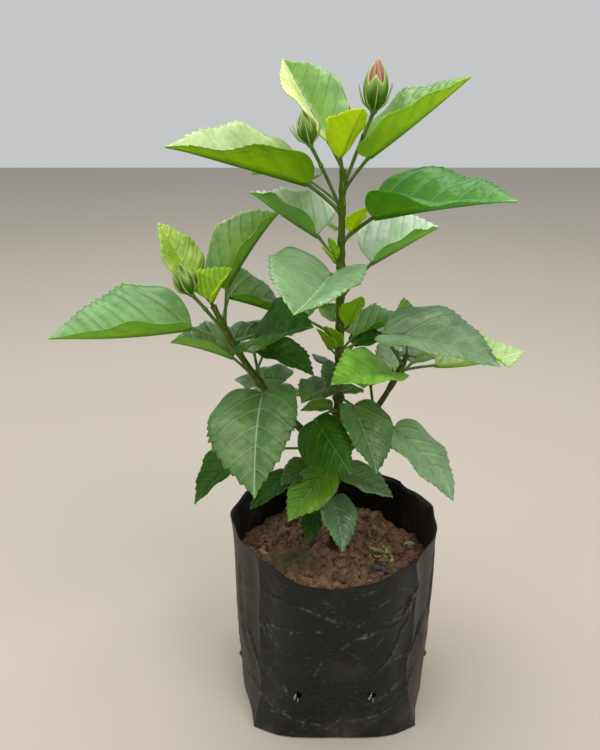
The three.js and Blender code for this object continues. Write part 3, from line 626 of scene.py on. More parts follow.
def leafMaterial(name, base, dark, vein, roughness, gloss, underside=False):
    # living leaf: waxy and even, with paler veins; the sheen is a soft one, rougher below
    material, tree, surface = newMaterial(name)
    evenSlant, growingSlant = leafLook["veinSlant"]
    xy = addNode(tree, "SeparateXYZ", links={0: addNode(tree, "UVMap", {"uv_map": "UVMap"})})
    x, v = xy.outputs[0], xy.outputs[1]
    out = addNode(tree, "Math", {"operation": "SUBTRACT"}, {1: 0.5}, {0: v})
    y = addNode(tree, "Math", {"operation": "ABSOLUTE"}, links={0: out})
    slant = addNode(tree, "Math", {"operation": "MULTIPLY_ADD"}, {1: -evenSlant}, {0: y, 2: x})
    square = addNode(tree, "Math", {"operation": "POWER"}, {1: 2.0}, {0: y})
    curved = addNode(tree, "Math", {"operation": "MULTIPLY_ADD"}, {1: -growingSlant}, {0: square, 2: slant})
    # distance to the nearest side vein
    near = addNode(tree, "Math", {"operation": "PINGPONG"}, {1: leafLook["veinSpacing"] / 2}, {0: curved})
    sideVein = addNode(tree, "MapRange", smooth, {1: 0.001, 2: 0.0065, 3: 1.0, 4: 0.0}, {0: near})
    reach = addNode(tree, "MapRange", {}, {1: 0.0, 2: 0.36, 3: 1.0, 4: 0.25}, {0: y})
    # the pair that leaves the base is the strongest
    fromBase = addNode(tree, "Math", {"operation": "ABSOLUTE"}, links={0: curved})
    rank = addNode(tree, "MapRange", {}, {1: 0.06, 2: 0.10, 3: 1.0, 4: 0.6}, {0: fromBase})
    ranked = addNode(tree, "Math", {"operation": "MULTIPLY"}, links={0: sideVein, 1: rank})
    sideFaded = addNode(tree, "Math", {"operation": "MULTIPLY"}, links={0: ranked, 1: reach})
    midrib = addNode(tree, "MapRange", smooth, {1: 0.002, 2: 0.010, 3: 1.0, 4: 0.0}, {0: y})
    veins = addNode(tree, "Math", {"operation": "MAXIMUM"}, links={0: sideFaded, 1: midrib})
    place = addNode(tree, "TexCoord").outputs["Object"]
    # soft blotches about 14 mm across, and the fine net of veinlets, cells about 1.6 mm
    mottling = {"Scale": 70.0, "Detail": 3.0, "Roughness": 0.55}
    blotch = addNode(tree, "TexNoise", {}, mottling, {"Vector": place})
    net = addNode(tree, "TexVoronoi", {"feature": "DISTANCE_TO_EDGE"}, {"Scale": 620.0}, {"Vector": place})
    netLine = addNode(tree, "MapRange", {}, {1: 0.0, 2: 0.12, 3: 1.0, 4: 0.0}, {0: net})
    spread = addNode(tree, "MapRange", {}, {1: 0.36, 2: 0.66, 3: 0.0, 4: 1.0}, {0: blotch})
    body = addNode(tree, "Mix", colours, {6: linear(base), 7: linear(dark)}, {0: spread})
    netShare = addNode(tree, "Math", {"operation": "MULTIPLY"}, {1: 0.10}, {0: netLine})
    netted = addNode(tree, "Mix", colours, {7: linear(vein)}, {0: netShare, 6: body.outputs[2]})
    veinShare = addNode(tree, "Math", {"operation": "MULTIPLY"}, {1: 0.6 if underside else 0.75}, {0: veins})
    colour = addNode(tree, "Mix", colours, {7: linear(vein)}, {0: veinShare, 6: netted.outputs[2]})
    tree.links.new(colour.outputs[2], surface.inputs["Base Color"])
    dent = addNode(tree, "Math", {"operation": "MULTIPLY"}, {1: 1.0 if underside else -1.0}, {0: veins})
    fineBump = addNode(tree, "Bump", {}, {"Strength": 0.6, "Distance": 0.0004}, {"Height": dent})
    # the blade swells between its side veins, and in puckers about 4 mm across
    softest = {"interpolation_type": "SMOOTHERSTEP"}
    valley = addNode(tree, "MapRange", softest, {1: 0.0, 2: 0.05, 3: 0.0, 4: 0.6}, {0: near})
    cells = {"Scale": 240.0, "Smoothness": 0.6}
    pucker = addNode(tree, "TexVoronoi", {"feature": "SMOOTH_F1"}, cells, {"Vector": place})
    swell = addNode(tree, "Math", {"operation": "MULTIPLY_ADD"}, {1: -0.55}, {0: pucker, 2: valley})
    depth = {"Strength": 0.9, "Distance": 0.0003 if underside else 0.001}
    relief = addNode(tree, "Bump", {"invert": underside}, depth, {"Height": swell, "Normal": fineBump})
    tree.links.new(relief.outputs[0], surface.inputs["Normal"])
    surface.inputs["Roughness"].default_value = roughness
    surface.inputs["Specular IOR Level"].default_value = 0.2 if underside else 0.5 * gloss
    surface.inputs["IOR"].default_value = 1.45
    surface.inputs["Coat Weight"].default_value = 0.0 if underside else 0.3 * gloss
    surface.inputs["Coat Roughness"].default_value = 0.3
    # light passes through the thin blade
    surface.inputs["Subsurface Weight"].default_value = 0.45
    surface.inputs["Subsurface Radius"].default_value = (1.0, 1.0, 0.25)
    surface.inputs["Subsurface Scale"].default_value = 0.003
    return material


def stalkMaterial():
    # young leaf stalk: green, tinged brown where the sun reaches it
    material, tree, surface = newMaterial("young leaf stalk")
    place = addNode(tree, "TexCoord").outputs["Object"]
    blotch = addNode(tree, "TexNoise", {}, {"Scale": 120.0, "Detail": 2.0}, {"Vector": place})
    colour = colourRamp(tree, blotch, [(0.3, "#3a5a0c"), (0.6, "#56761a"), (0.8, "#6c6420")])
    tree.links.new(colour.outputs[0], surface.inputs["Base Color"])
    surface.inputs["Roughness"].default_value = 0.45
    return material


tones = list(leafTones)
leafMaterials = []
for tone, (base, dark, vein, _, gloss) in leafTones.items():
    leafMaterials.append(leafMaterial(f"hibiscus leaf, {tone}", base, dark, vein, 0.36, gloss))
for tone, (_, _, _, below, gloss) in leafTones.items():
    name = f"hibiscus leaf underside, {tone}"
    mottle, vein = darker(below, 0.93), darker(below, 0.8)
    leafMaterials.append(leafMaterial(name, below, mottle, vein, 0.55, gloss, underside=True))


stalkLook = {
    "radius": (0.55, 0.008),  # mm, and of the blade's length
    "thin": 0.92,  # of that radius, between the two swellings
    "footSwell": 0.55,  # added where it leaves the limb
    "neckSwell": 0.22,  # added just below the blade
    "swellLength": 0.06,  # of the stalk
    "end": 0.45,  # of the radius, under the blade
    "arch": 0.05,  # how far it arches up, of its length
    "runOn": (4, 0.12),  # mm that it runs on under the midrib, and the most as a share of the blade
    "below": 0.3,  # mm under the midrib's upper side
}


def stalkShape(start, base, into, radius):
    # an arched tube, thicker where it leaves the limb and just below the blade
    run = arc(start, base, np.array([0, 0, stalkLook["arch"] * np.linalg.norm(base - start)]), 14)
    path = np.vstack([run, [into]])
    t = np.linspace(0, 1, len(path))
    foot = stalkLook["footSwell"] * np.exp(-((t / stalkLook["swellLength"]) ** 2))
    neck = stalkLook["neckSwell"] * np.exp(-(((t - 0.9) / stalkLook["swellLength"]) ** 2))
    radii = radius * (stalkLook["thin"] + foot + neck)
    radii[-1] = stalkLook["end"] * radius
    return tubeShape(path, radii, sides=8)


def growLeaves():
    # a stalk leaves its limb's side, square to the limb, or goes on from the limb's tip
    # the blade starts at the stalk's end
    blades, stalks = [], []
    most, share = stalkLook["runOn"]
    for number, (_, limb, at, leaves) in enumerate(sprays):
        foot = limbPoint(limb, at)
        atTip = at >= limbEnd(limb)
        ahead = unit(limbPoint(limb, min(at + 0.5, limbEnd(limb))) - limbPoint(limb, at - 0.5))
        for k, leaf in enumerate(leaves):
            rng = np.random.default_rng(100 * number + k + 7)
            length = leaf["blade"][0]
            outward = heading(1, *leaf["stalk"][1:])
            outward = unit(outward - ahead * (outward @ ahead))
            start = foot - ahead * 0.8 if atTip else foot + outward * limbRadius(limb, at) * 0.55
            base = foot + heading(*leaf["stalk"])
            tone = tones.index(leaf["tone"])
            second = tones.index(leaf["second"] or leaf["tone"])
            blades.append(bladeShape(leaf, base, (tone, second, tone + len(tones)), rng))
            _, rib, _ = bladeFrame(leaf, base)
            into = rib(min(share, most / length)) - np.array([0, 0, stalkLook["below"]])
            radius = stalkLook["radius"][0] + stalkLook["radius"][1] * length
            stalks.append(stalkShape(start, base, into, radius))
    return blades, stalks


blades, stalks = growLeaves()
sprayNames = [name for name, *_ in sprays]
half = len(blades) // 2
makePiece("leaf_blades_1", joinShapes(blades[:half]), leafMaterials, sprayNames)
makePiece("leaf_blades_2", joinShapes(blades[half:]), leafMaterials)
makePiece("leaf_stalks", joinShapes(stalks), [stalkMaterial()])
print("leaves")


# The buds, by the rule of the model's source: limb and place that the stalk grows from, the stalk, the bud's
# length and radius, and its tilt, which is a bearing and a rise.
# The calyx reaches up to notch between its lobes and to points at their tips, and open is how far it stands off.
# A pear is slimmer above. Bracts have a length of their own and bend outwards by spread.
buds = [
    {"limb": "trunk", "at": 354, "stalk": (47, -12, 69), "length": 27.6, "radius": 6.9,
     "tilt": (5, 86), "petals": True, "notch": 0.52, "points": (0.9, 0.95, 0.72, 0.95, 0.9),
     "open": 0.03, "pear": 0.0, "bract": 16, "spread": 3.0},
    {"limb": "trunk", "at": 341, "stalk": (47.6, -140, 58), "length": 19, "radius": 6.1,
     "tilt": (180, 77), "petals": False, "notch": 0.5, "points": (1.06, 0.98, 1.08, 1.0, 1.04),
     "open": 0.3, "pear": 0.5, "bract": 13, "spread": 3.2},
    {"limb": "left_bough", "at": 111, "stalk": (41, -165, 54), "length": 19.5, "radius": 6.6,
     "tilt": (180, 70), "petals": False, "notch": 0.5, "points": (1.0, 0.97, 1.0, 0.98, 1.0),
     "open": 0.08, "pear": 0.4, "bract": 14, "spread": 1.2},
]


def turned(along):
    # two directions square to along
    first = unit(np.cross(along, [0.3, 0.9, 0.31]))
    return first, np.cross(along, first)


def revolved(base, along, share, radius, length):
    # a closed body round an axis: share and radius are rows by columns, share runs from base to tip
    u, w = turned(along)
    turn = tau * np.arange(radius.shape[1]) / radius.shape[1]
    ring = np.cos(turn)[:, None] * u + np.sin(turn)[:, None] * w
    points = base + along * (share * length)[..., None] + ring[None] * radius[..., None]
    points, faces, _, _ = closedRound(points)
    across = np.append(np.tile(np.arange(len(turn)) / len(turn), len(share)), [0.5, 0.5])
    up = np.append(np.repeat(np.linspace(0, 1, len(share)), len(turn)), [0, 1])
    return points, faces, np.stack([across, up], -1)


def egg(share, pear=0.0):
    # the bud's outline, widest two fifths of the way up: sin(pi s^0.85)^0.6, drawn to a point at the tip
    # a pear is slimmer above: the radius also falls off with s^1.5
    s = np.clip(share, 0, 1)
    return np.sin(np.pi * s**0.85) ** 0.6 * (1 - 0.3 * s**9) * (1 - pear * s**1.5)


budLook = {
    "around": 80,  # points round petals and calyx
    "rings": 40,  # from base to tip
    "bracts": 7,
    "firstLobe": 0.64,  # how far round the calyx is turned, in lobes
    "film": 0.5,  # mm, thickness of the calyx
    "bractRadius": (0.6, 0.12),  # mm that it has more at its base than at its tip, and at its tip
    "bractFlat": 0.6,  # of its width
}


def budShape(bud, base, along):
    # furled petals inside a calyx of five pointed lobes, with slender bracts round its foot
    length, radius = bud["length"], bud["radius"]
    n, rings, bracts = budLook["around"], budLook["rings"], budLook["bracts"]
    turn = tau * np.arange(n)[None, :] / n
    share = (1 - np.cos(np.pi * np.linspace(0.04, 0.99, rings)[:, None])) / 2
    furl = (0.88 if bud["petals"] else 0.93) + 0.06 * ((turn * 5 / tau + 1.2 * share) % 1)
    shown = 1.0 if bud["petals"] else 0.96
    petals = revolved(base, along, shown * share + 0 * turn, radius * egg(share, bud["pear"]) * furl, length)
    # the calyx's edge stands high at the five points and low between them
    place = turn * 5 / tau + budLook["firstLobe"]
    lobe = np.abs(place % 1 * 2 - 1)
    points = np.array(bud["points"])[((place + 0.5) // 1).astype(int) % 5]
    top = bud["notch"] + (points - bud["notch"]) * lobe
    rise = np.linspace(0, 1, rings)[:, None]
    s = 0.012 + rise * (top - 0.012)
    ribbed = 1 + 0.05 * lobe**2 * np.sin(np.pi * rise) - 0.05 * (1 - lobe) ** 4
    outer = radius * egg(s, bud["pear"]) * ribbed * (1 + bud["open"] * rise**6)
    inner = np.maximum(outer[::-1] - budLook["film"], 0.15)
    calyx = revolved(base, along, np.vstack([s, s[::-1]]), np.vstack([outer, inner]), length)
    green = 1 if bud["petals"] else 3
    shapes = [(*petals, [0 if bud["petals"] else green] * 3), (*calyx, [green] * 3)]
    u, w = turned(along)
    rng = np.random.default_rng(int(length * 10))
    for i in range(bracts):
        a = tau * (i + 0.25 * rng.random()) / bracts
        out = np.cos(a) * u + np.sin(a) * w
        t = np.linspace(0, 1, 16)[:, None]
        reach = bud["bract"] * (0.9 + 0.2 * rng.random())
        swing = 0.5 + 0.58 * np.minimum(1, 4 * t)
        away = radius * egg(0.05 + reach * t / length) * swing
        away = away + bud["spread"] * (0.7 + 0.6 * rng.random()) * t**2.2
        path = base + along * (reach * (0.03 + 0.97 * t)) + out * away
        radii = budLook["bractRadius"][0] * (1 - t[:, 0]) ** 0.5 + budLook["bractRadius"][1]
        shapes.append(tubeShape(path, radii, sides=6, slot=2, flatten=budLook["bractFlat"]))
    # the swollen top of the stalk
    t = np.linspace(0, 1, 8)[:, None]
    swollen = base - along * 1.5 + along * 3.0 * t
    shapes.append(tubeShape(swollen, 1.2 + 1.6 * t[:, 0] ** 0.8, sides=16, slot=green))
    return joinShapes(shapes)


def petalMaterial():
    # furled petals: silky salmon pink, each with a brown-red fold and a cream edge that wind up the bud; each
    # band is darkest just beside the cream edge of the one before, a painted shade where that petal laps over it
    material, tree, surface = newMaterial("furled hibiscus petals")
    xy = addNode(tree, "SeparateXYZ", links={0: addNode(tree, "UVMap", {"uv_map": "UVMap"})})
    five = addNode(tree, "Math", {"operation": "MULTIPLY"}, {1: 10.0}, {0: xy.outputs[0]})
    wound = addNode(tree, "Math", {"operation": "MULTIPLY_ADD"}, {1: 2.4}, {0: xy.outputs[1], 2: five})
    share = addNode(tree, "Math", {"operation": "FRACT"}, links={0: wound})
    # the darkest stop is painted shade under the overlapping petal
    stops = [(0.0, "#4a2a1a"), (0.2, "#78442f"), (0.5, "#a26048"), (0.8, "#946648"), (0.93, "#b8a47c")]
    colour = colourRamp(tree, share, stops)
    tree.links.new(colour.outputs[0], surface.inputs["Base Color"])
    surface.inputs["Roughness"].default_value = 0.5
    surface.inputs["Sheen Weight"].default_value = 0.2
    return material


def calyxMaterial(edgeShare):
    # sepals: smooth green with paler ribs and a cream edge
    material, tree, surface = newMaterial("green sepals")
    uv = addNode(tree, "UVMap", {"uv_map": "UVMap"})
    stretched = addNode(tree, "Mapping", {}, {"Scale": (20, 1.2, 1)}, {"Vector": uv})
    streak = addNode(tree, "TexNoise", {}, {"Scale": 3.0, "Detail": 2.0}, {"Vector": stretched})
    body = colourRamp(tree, streak, [(0.3, "#244c04"), (0.5, "#366008"), (0.75, "#7c9c34")])
    up = addNode(tree, "SeparateXYZ", links={0: uv}).outputs[1]
    fromEdge = addNode(tree, "Math", {"operation": "PINGPONG"}, {1: 0.5}, {0: up})
    edge = addNode(tree, "MapRange", smooth, {1: 0.455, 2: 0.485, 3: 0.0, 4: edgeShare}, {0: fromEdge})
    high = addNode(tree, "MapRange", smooth, {1: 0.22, 2: 0.5, 3: 0.0, 4: 0.6}, {0: fromEdge})
    faded = addNode(tree, "Mix", colours, {7: linear("#a9c468")}, {0: high, 6: body.outputs[0]})
    colour = addNode(tree, "Mix", colours, {7: linear("#ccd69a")}, {0: edge, 6: faded.outputs[2]})
    tree.links.new(colour.outputs[2], surface.inputs["Base Color"])
    surface.inputs["Roughness"].default_value = 0.45
    surface.inputs["Specular IOR Level"].default_value = 0.25
    return material


def growBuds():
    # each bud stands at its stalk's end and points along its tilt
    shapes, stems = [], []
    for bud in buds:
        foot = limbPoint(bud["limb"], bud["at"])
        base = foot + heading(*bud["stalk"])
        along = heading(1, *bud["tilt"])
        shapes.append(budShape(bud, base, along))
        stems.append(stalkShape(foot + heading(0.8, *bud["stalk"][1:]), base, base + along * 1.5, 1.15))
        # the joint two thirds of the way up the stalk
        joint = foot + (base - foot) * 0.68 + np.array([0, 0, 0.022 * np.linalg.norm(base - foot)])
        t = np.linspace(-1, 1, 7)[:, None]
        stems.append(tubeShape(joint + unit(base - foot) * 1.6 * t, 1.1 + 0.3 * (1 - t[:, 0] ** 2), sides=10))
    bracts = plainMaterial("pale bracts", "#9db35c", 0.5)
    budLooks = [petalMaterial(), calyxMaterial(0.8), bracts, calyxMaterial(0.4)]
    makePiece("flower_buds", joinShapes(shapes), budLooks)
    makePiece("bud_stalks", joinShapes(stems), [stalkMaterial()])


growBuds()
print("buds")


# The stem and boughs.
barkLook = {
    "sides": 28,  # points round each ring
    "step": 0.8,  # mm between the rings
    "nodeSwell": 0.45,  # mm that the limb swells at a leaf's place
    "nodeLength": 2.2,  # mm from there to where it has sunk to a third
    "ridge": 0.10,  # mm, height of the ridges
    "pits": 0.08,  # mm, between the highest and the lowest
}


def barkRadii(radius, reach, places, rng):
    # the limb's radius, swollen at each leaf's place, with shallow ridges that wander along it and small pits
    turn = tau * np.arange(barkLook["sides"]) / barkLook["sides"]
    z, turn = reach[:, None], turn[None, :]
    swell = sum(np.exp(-(((z - at) / barkLook["nodeLength"]) ** 2)) for at in places)
    ridges = np.sin(7 * turn + 0.05 * z + 0.8 * np.sin(0.11 * z)) + 0.5 * np.sin(13 * turn - 0.09 * z)
    pits = rng.random((len(reach), barkLook["sides"])) - 0.5
    radii = radius[:, None] + barkLook["nodeSwell"] * swell + barkLook["ridge"] * ridges
    return radii + barkLook["pits"] * pits


def barkMaterial():
    # young woody bark: green skin above, corky brown with pale pores towards the soil
    material, tree, surface = newMaterial("young hibiscus bark")
    place = addNode(tree, "TexCoord").outputs["Object"]
    height = addNode(tree, "SeparateXYZ", links={0: place}).outputs[2]
    # streaks run along the limb: the noise is stretched four times upwards
    stretched = addNode(tree, "Mapping", {}, {"Scale": (1, 1, 0.25)}, {"Vector": place})
    streaks = {"Scale": 420.0, "Detail": 4.0, "Roughness": 0.6}
    streak = addNode(tree, "TexNoise", {}, streaks, {"Vector": stretched})
    level = addNode(tree, "MapRange", {}, {1: 0.125, 2: 0.31, 3: 0.0, 4: 0.85}, {0: height})
    wander = addNode(tree, "Math", {"operation": "MULTIPLY_ADD"}, {1: 0.5}, {0: streak, 2: level})
    upwards = [(0.22, "#33240c"), (0.45, "#4c3c14"), (0.66, "#444a0c"), (1.0, "#4a6006")]
    body = colourRamp(tree, wander, upwards)
    pores = addNode(tree, "TexVoronoi", {"feature": "F1"}, {"Scale": 480.0}, {"Vector": stretched})
    dots = addNode(tree, "MapRange", {}, {1: 0.12, 2: 0.22, 3: 0.5, 4: 0.0}, {0: pores})
    colour = addNode(tree, "Mix", colours, {7: linear("#a09468")}, {0: dots, 6: body.outputs[0]})
    tree.links.new(colour.outputs[2], surface.inputs["Base Color"])
    bump = addNode(tree, "Bump", {}, {"Strength": 0.6, "Distance": 0.0004}, {"Height": streak})
    tree.links.new(bump.outputs[0], surface.inputs["Normal"])
    surface.inputs["Roughness"].default_value = 0.6
    surface.inputs["Specular IOR Level"].default_value = 0.25
    return material


def growLimbs():
    # the stem starts a little under the soil; its swellings and the boughs' stand where the sprays grow
    bark = barkMaterial()
    rng = np.random.default_rng(5)
    z = np.arange(stem["foot"] - 1.5, stem["tip"] + 0.01, barkLook["step"])
    places = [at for _, limb, at, _ in sprays if limb == "trunk"]
    radii = barkRadii(stemRadius(np.maximum(z, stem["foot"])), z, places, rng)
    makePiece("stem", tubeShape(stemPoint(z), radii, barkLook["sides"]), [bark], ["trunk"])
    for name, bough in boughs.items():
        s = np.arange(0, bough["length"] + 0.01, barkLook["step"])
        places = [at for _, limb, at, _ in sprays if limb == name]
        radii = barkRadii(boughRadius(bough, s), s, places, rng)
        shape = tubeShape(boughPoint(bough, s), radii, barkLook["sides"])
        makePiece(name.replace("_", "_side_"), shape, [bark], [name])


growLimbs()
print("stem and boughs")


# The bag. A bend or a push of the rim is a bearing, its spread in degrees and how far it goes in millimetres.
bag = {
    "halfBase": 65.5, "halfRim": 69, "rim": 131,  # half widths and height
    "film": 0.5,
    "edgeRadius": 2.2,  # of the edge round the underside
    "cornerPower": 3.2, "roundPower": 2.15,  # power at the base and at the top
    "cornerHeight": 25,  # where most of the change is done
    "around": 480, "up": 150, "inside": 26,  # points round the film, up its outer side and down its inner one
    "sideRise": 5, "backRise": 1.5, "backBearing": 45,  # the rim is higher at both sides and at the back
    "frontSag": 6, "frontBearing": -95, "frontSpread": 35,
    "rimBends": (
        (-131, 14, 4.2), (-158, 8, -1.5), (172, 14, -3.0),
        (20, 16, -3.0), (38, 10, -2.6), (70, 9, 1.0),
    ),
    "rimPush": (
        (176, 12, 2.6), (-150, 9, -0.5), (-17, 10, 0.8),
        (14, 8, 0.8), (30, 8, -1.2), (48, 6, 0.8), (100, 12, 0.6),
    ),
    "corners": (-135, -44.5, 45, 135),  # bearings of the folds that run down the film
    "foldRidge": 0.9, "foldWidth": 1.5,  # each fold is a sharp ridge
    "foldHollow": 0.9, "hollowPlace": 8, "hollowWidth": 7,  # with a shallow hollow at either side
    "foldWander": (0.8, 2.2, 1.2, 1.0),  # how far each wanders from side to side
    "flap": (27, 15, 21),  # bottom corner folds stand out: along the front, along the side, up
    "flapRise": 3.4, "flapEdge": 0.45,
    "footHollows": (-151, -29), "footHollow": 3.4, "footSpread": 12, "footHeight": 40,
    "tucks": (197, -17), "tuckRise": 1.8, "tuckHeight": 33,  # small knobs beside the front flaps
    "creases": 150,  # small seeded ones
    "holes": ((-24.5, -1), (24.5, -1), (-24.5, 1), (24.5, 1)),  # place along X; -1 is the front, 1 the back
    "holeHeight": 36, "holeRadius": 2.2, "holePoints": 14,
    "wall": (65.6, 66.0),  # how far out the film stands at the holes of the front and of the back
}

# Creases that show: bearing and height of the middle, slant from level, length, width, depth, paleness.
filmCreases = [
    (-73.5, 85.4, 14, 13, 0.9, 0.5, 1.0), (-78, 95.2, 30, 6, 0.8, 0.4, 0.55),
    (-99, 91, 20, 5, 0.8, 0.4, 0.6), (-115, 84.5, 75, 5, 0.8, 0.4, 0.7),
    (-118.6, 38.6, -60, 6, 0.8, 0.4, 0.6), (-106, 107, -10, 12, 1.1, 0.6, 0.45),
    (-93.5, 100.5, -22, 19, 1.3, 0.7, 0.45), (-74.5, 119.3, 16, 9, 1.0, 0.5, 0.4),
    (-57, 36, 24, 22, 1.2, 0.7, 0.4), (-41.5, 35, 32, 19, 1.2, 0.8, 0.35),
    (-141.5, 55, -58, 30, 1.4, 0.9, 0.25), (-139, 27.5, -8, 48, 1.4, 0.7, 0.3),
    (-84.5, 80, 36, 13, 1.0, 0.5, 0.3), (-46, 103, 62, 22, 1.3, 0.9, 0.45),
    (-36, 67, 55, 30, 1.4, 1.0, 0.3), (-30, 57, -78, 26, 1.5, 0.9, 0.2),
    (-60, 62, 48, 26, 1.2, 0.6, 0.25), (-52, 78, 60, 26, 1.2, 0.7, 0.25),
    (-100, 60, 70, 14, 1.0, 0.4, 0.3), (-122, 20, -22, 26, 1.2, 0.7, 0.4),
    (-70, 18, 12, 30, 1.2, 0.6, 0.3), (-158, 86, -82, 60, 2.2, 1.1, 0.15),
    (-21, 96, 80, 52, 2.2, 1.1, 0.15), (-104, 13, -14, 18, 1.0, 0.5, 0.4),
]


def bagRadius(turn, z):
    # a rounded square |x|^n + |y|^n = half^n, whose corners soften with height
    power = bag["roundPower"] + (bag["cornerPower"] - bag["roundPower"]) * np.exp(-z / bag["cornerHeight"])
    half = bag["halfBase"] + (bag["halfRim"] - bag["halfBase"]) * z / bag["rim"]
    return half / (np.abs(np.cos(turn)) ** power + np.abs(np.sin(turn)) ** power) ** (1 / power)


def turnFrom(turn, bearing):
    # the turn from a bearing, within half a circle to either side
    return (turn - np.radians(bearing) + np.pi) % tau - np.pi


def bump(turn, bearing, spread):
    # 1 at the bearing, and about a third at the spread to either side
    return np.exp(-((turnFrom(turn, bearing) / np.radians(spread)) ** 2))


def rimHeight(turn):
    # even height, higher at the sides and the back, sagging in front, with bends and a fine wave
    back = np.cos(turn - np.radians(bag["backBearing"]))
    rise = bag["sideRise"] * np.cos(turn) ** 2 + bag["backRise"] * back
    sag = bag["frontSag"] * bump(turn, bag["frontBearing"], bag["frontSpread"])
    bends = sum(amount * bump(turn, bearing, spread) for bearing, spread, amount in bag["rimBends"])
    return bag["rim"] + rise - sag + bends + 0.3 * np.sin(17 * turn)


def filmWear(turn, z):
    # each crease is a ridge beside a valley, and its top has worn pale; a and b run along it and across it
    rng = np.random.default_rng(11)
    n = bag["creases"]
    seeded = [rng.uniform(-180, 180, n), rng.uniform(6, 124, n), rng.normal(0, 40, n), rng.uniform(4, 22, n)]
    seeded += [rng.uniform(0.7, 1.6, n), rng.uniform(0.1, 0.45, n), 0.45 * rng.random(n) ** 2]
    push, wear = np.zeros(z.shape), np.zeros(z.shape)
    middleRadius = 67
    for bearing, height, slant, length, width, depth, worn in [*filmCreases, *np.stack(seeded, -1)]:
        level = turnFrom(turn, bearing) * middleRadius
        up = z - height
        c, s = np.cos(np.radians(slant)), np.sin(np.radians(slant))
        a = level * c + up * s
        b = up * c - level * s + 0.0035 * np.sign(np.sin(height)) * a**2 + 0.35 * np.sin(a / 2.3 + bearing)
        fade = np.exp(-((2 * a / length) ** 4))
        push += fade * depth * (np.exp(-((b / width) ** 2)) - 0.8 * np.exp(-((b / width - 1.7) ** 2)))
        broken = np.clip(0.5 + 0.8 * np.sin(a * 0.9 + height) * np.sin(a * 0.37 + bearing), 0, 1)
        wear = np.maximum(wear, fade * worn * broken * np.exp(-((b / 0.62) ** 2)))
    return push, wear


def filmPush(turn, z):
    # how far the film stands out from the even bag: slow waves, folds with a flap below, a fluttering rim
    push = 0.8 * np.sin(2 * turn + 1) * np.sin(z / 31) + 0.5 * np.sin(5 * turn + z / 23)
    alongFront, alongSide, upwards = bag["flap"]
    for bearing, wander in zip(bag["corners"], bag["foldWander"]):
        path = wander * np.sin(z / 17 + bearing) + 0.5 * wander * np.sin(z / 6.5)
        s = turnFrom(turn, bearing) * 70 + path * np.clip(z / 30, 0, 1)
        hollow = np.exp(-(((np.abs(s) - bag["hollowPlace"]) / bag["hollowWidth"]) ** 2))
        push = push + bag["foldRidge"] * np.exp(-np.abs(s) / bag["foldWidth"]) - bag["foldHollow"] * hollow
        # the flap is highest at the fold and sinks to nothing at its slanting edge, which is a small ridge
        towardsFace = s if bearing in (-135, 45) else -s
        reach = np.where(towardsFace > 0, towardsFace / alongFront, -towardsFace / alongSide) + z / upwards
        edge = np.exp(-(((reach - 1) / 0.07) ** 2)) * (towardsFace > -2)
        push = push + bag["flapRise"] * np.clip(1 - reach, 0, 1) ** 1.2 + bag["flapEdge"] * edge
    for bearing in bag["footHollows"]:
        low = np.exp(-((z / bag["footHeight"]) ** 2))
        push = push - bag["footHollow"] * low * bump(turn, bearing, bag["footSpread"])
    flutter = sum(amount * bump(turn, bearing, spread) for bearing, spread, amount in bag["rimPush"])
    push = push + (flutter + 0.3 * np.sin(13 * turn)) * (z / bag["rim"]) ** 8
    for bearing in bag["tucks"]:
        level = np.exp(-(((z - bag["tuckHeight"]) / 2.2) ** 2))
        push = push + bag["tuckRise"] * bump(turn, bearing, 1.6) * level
    return push


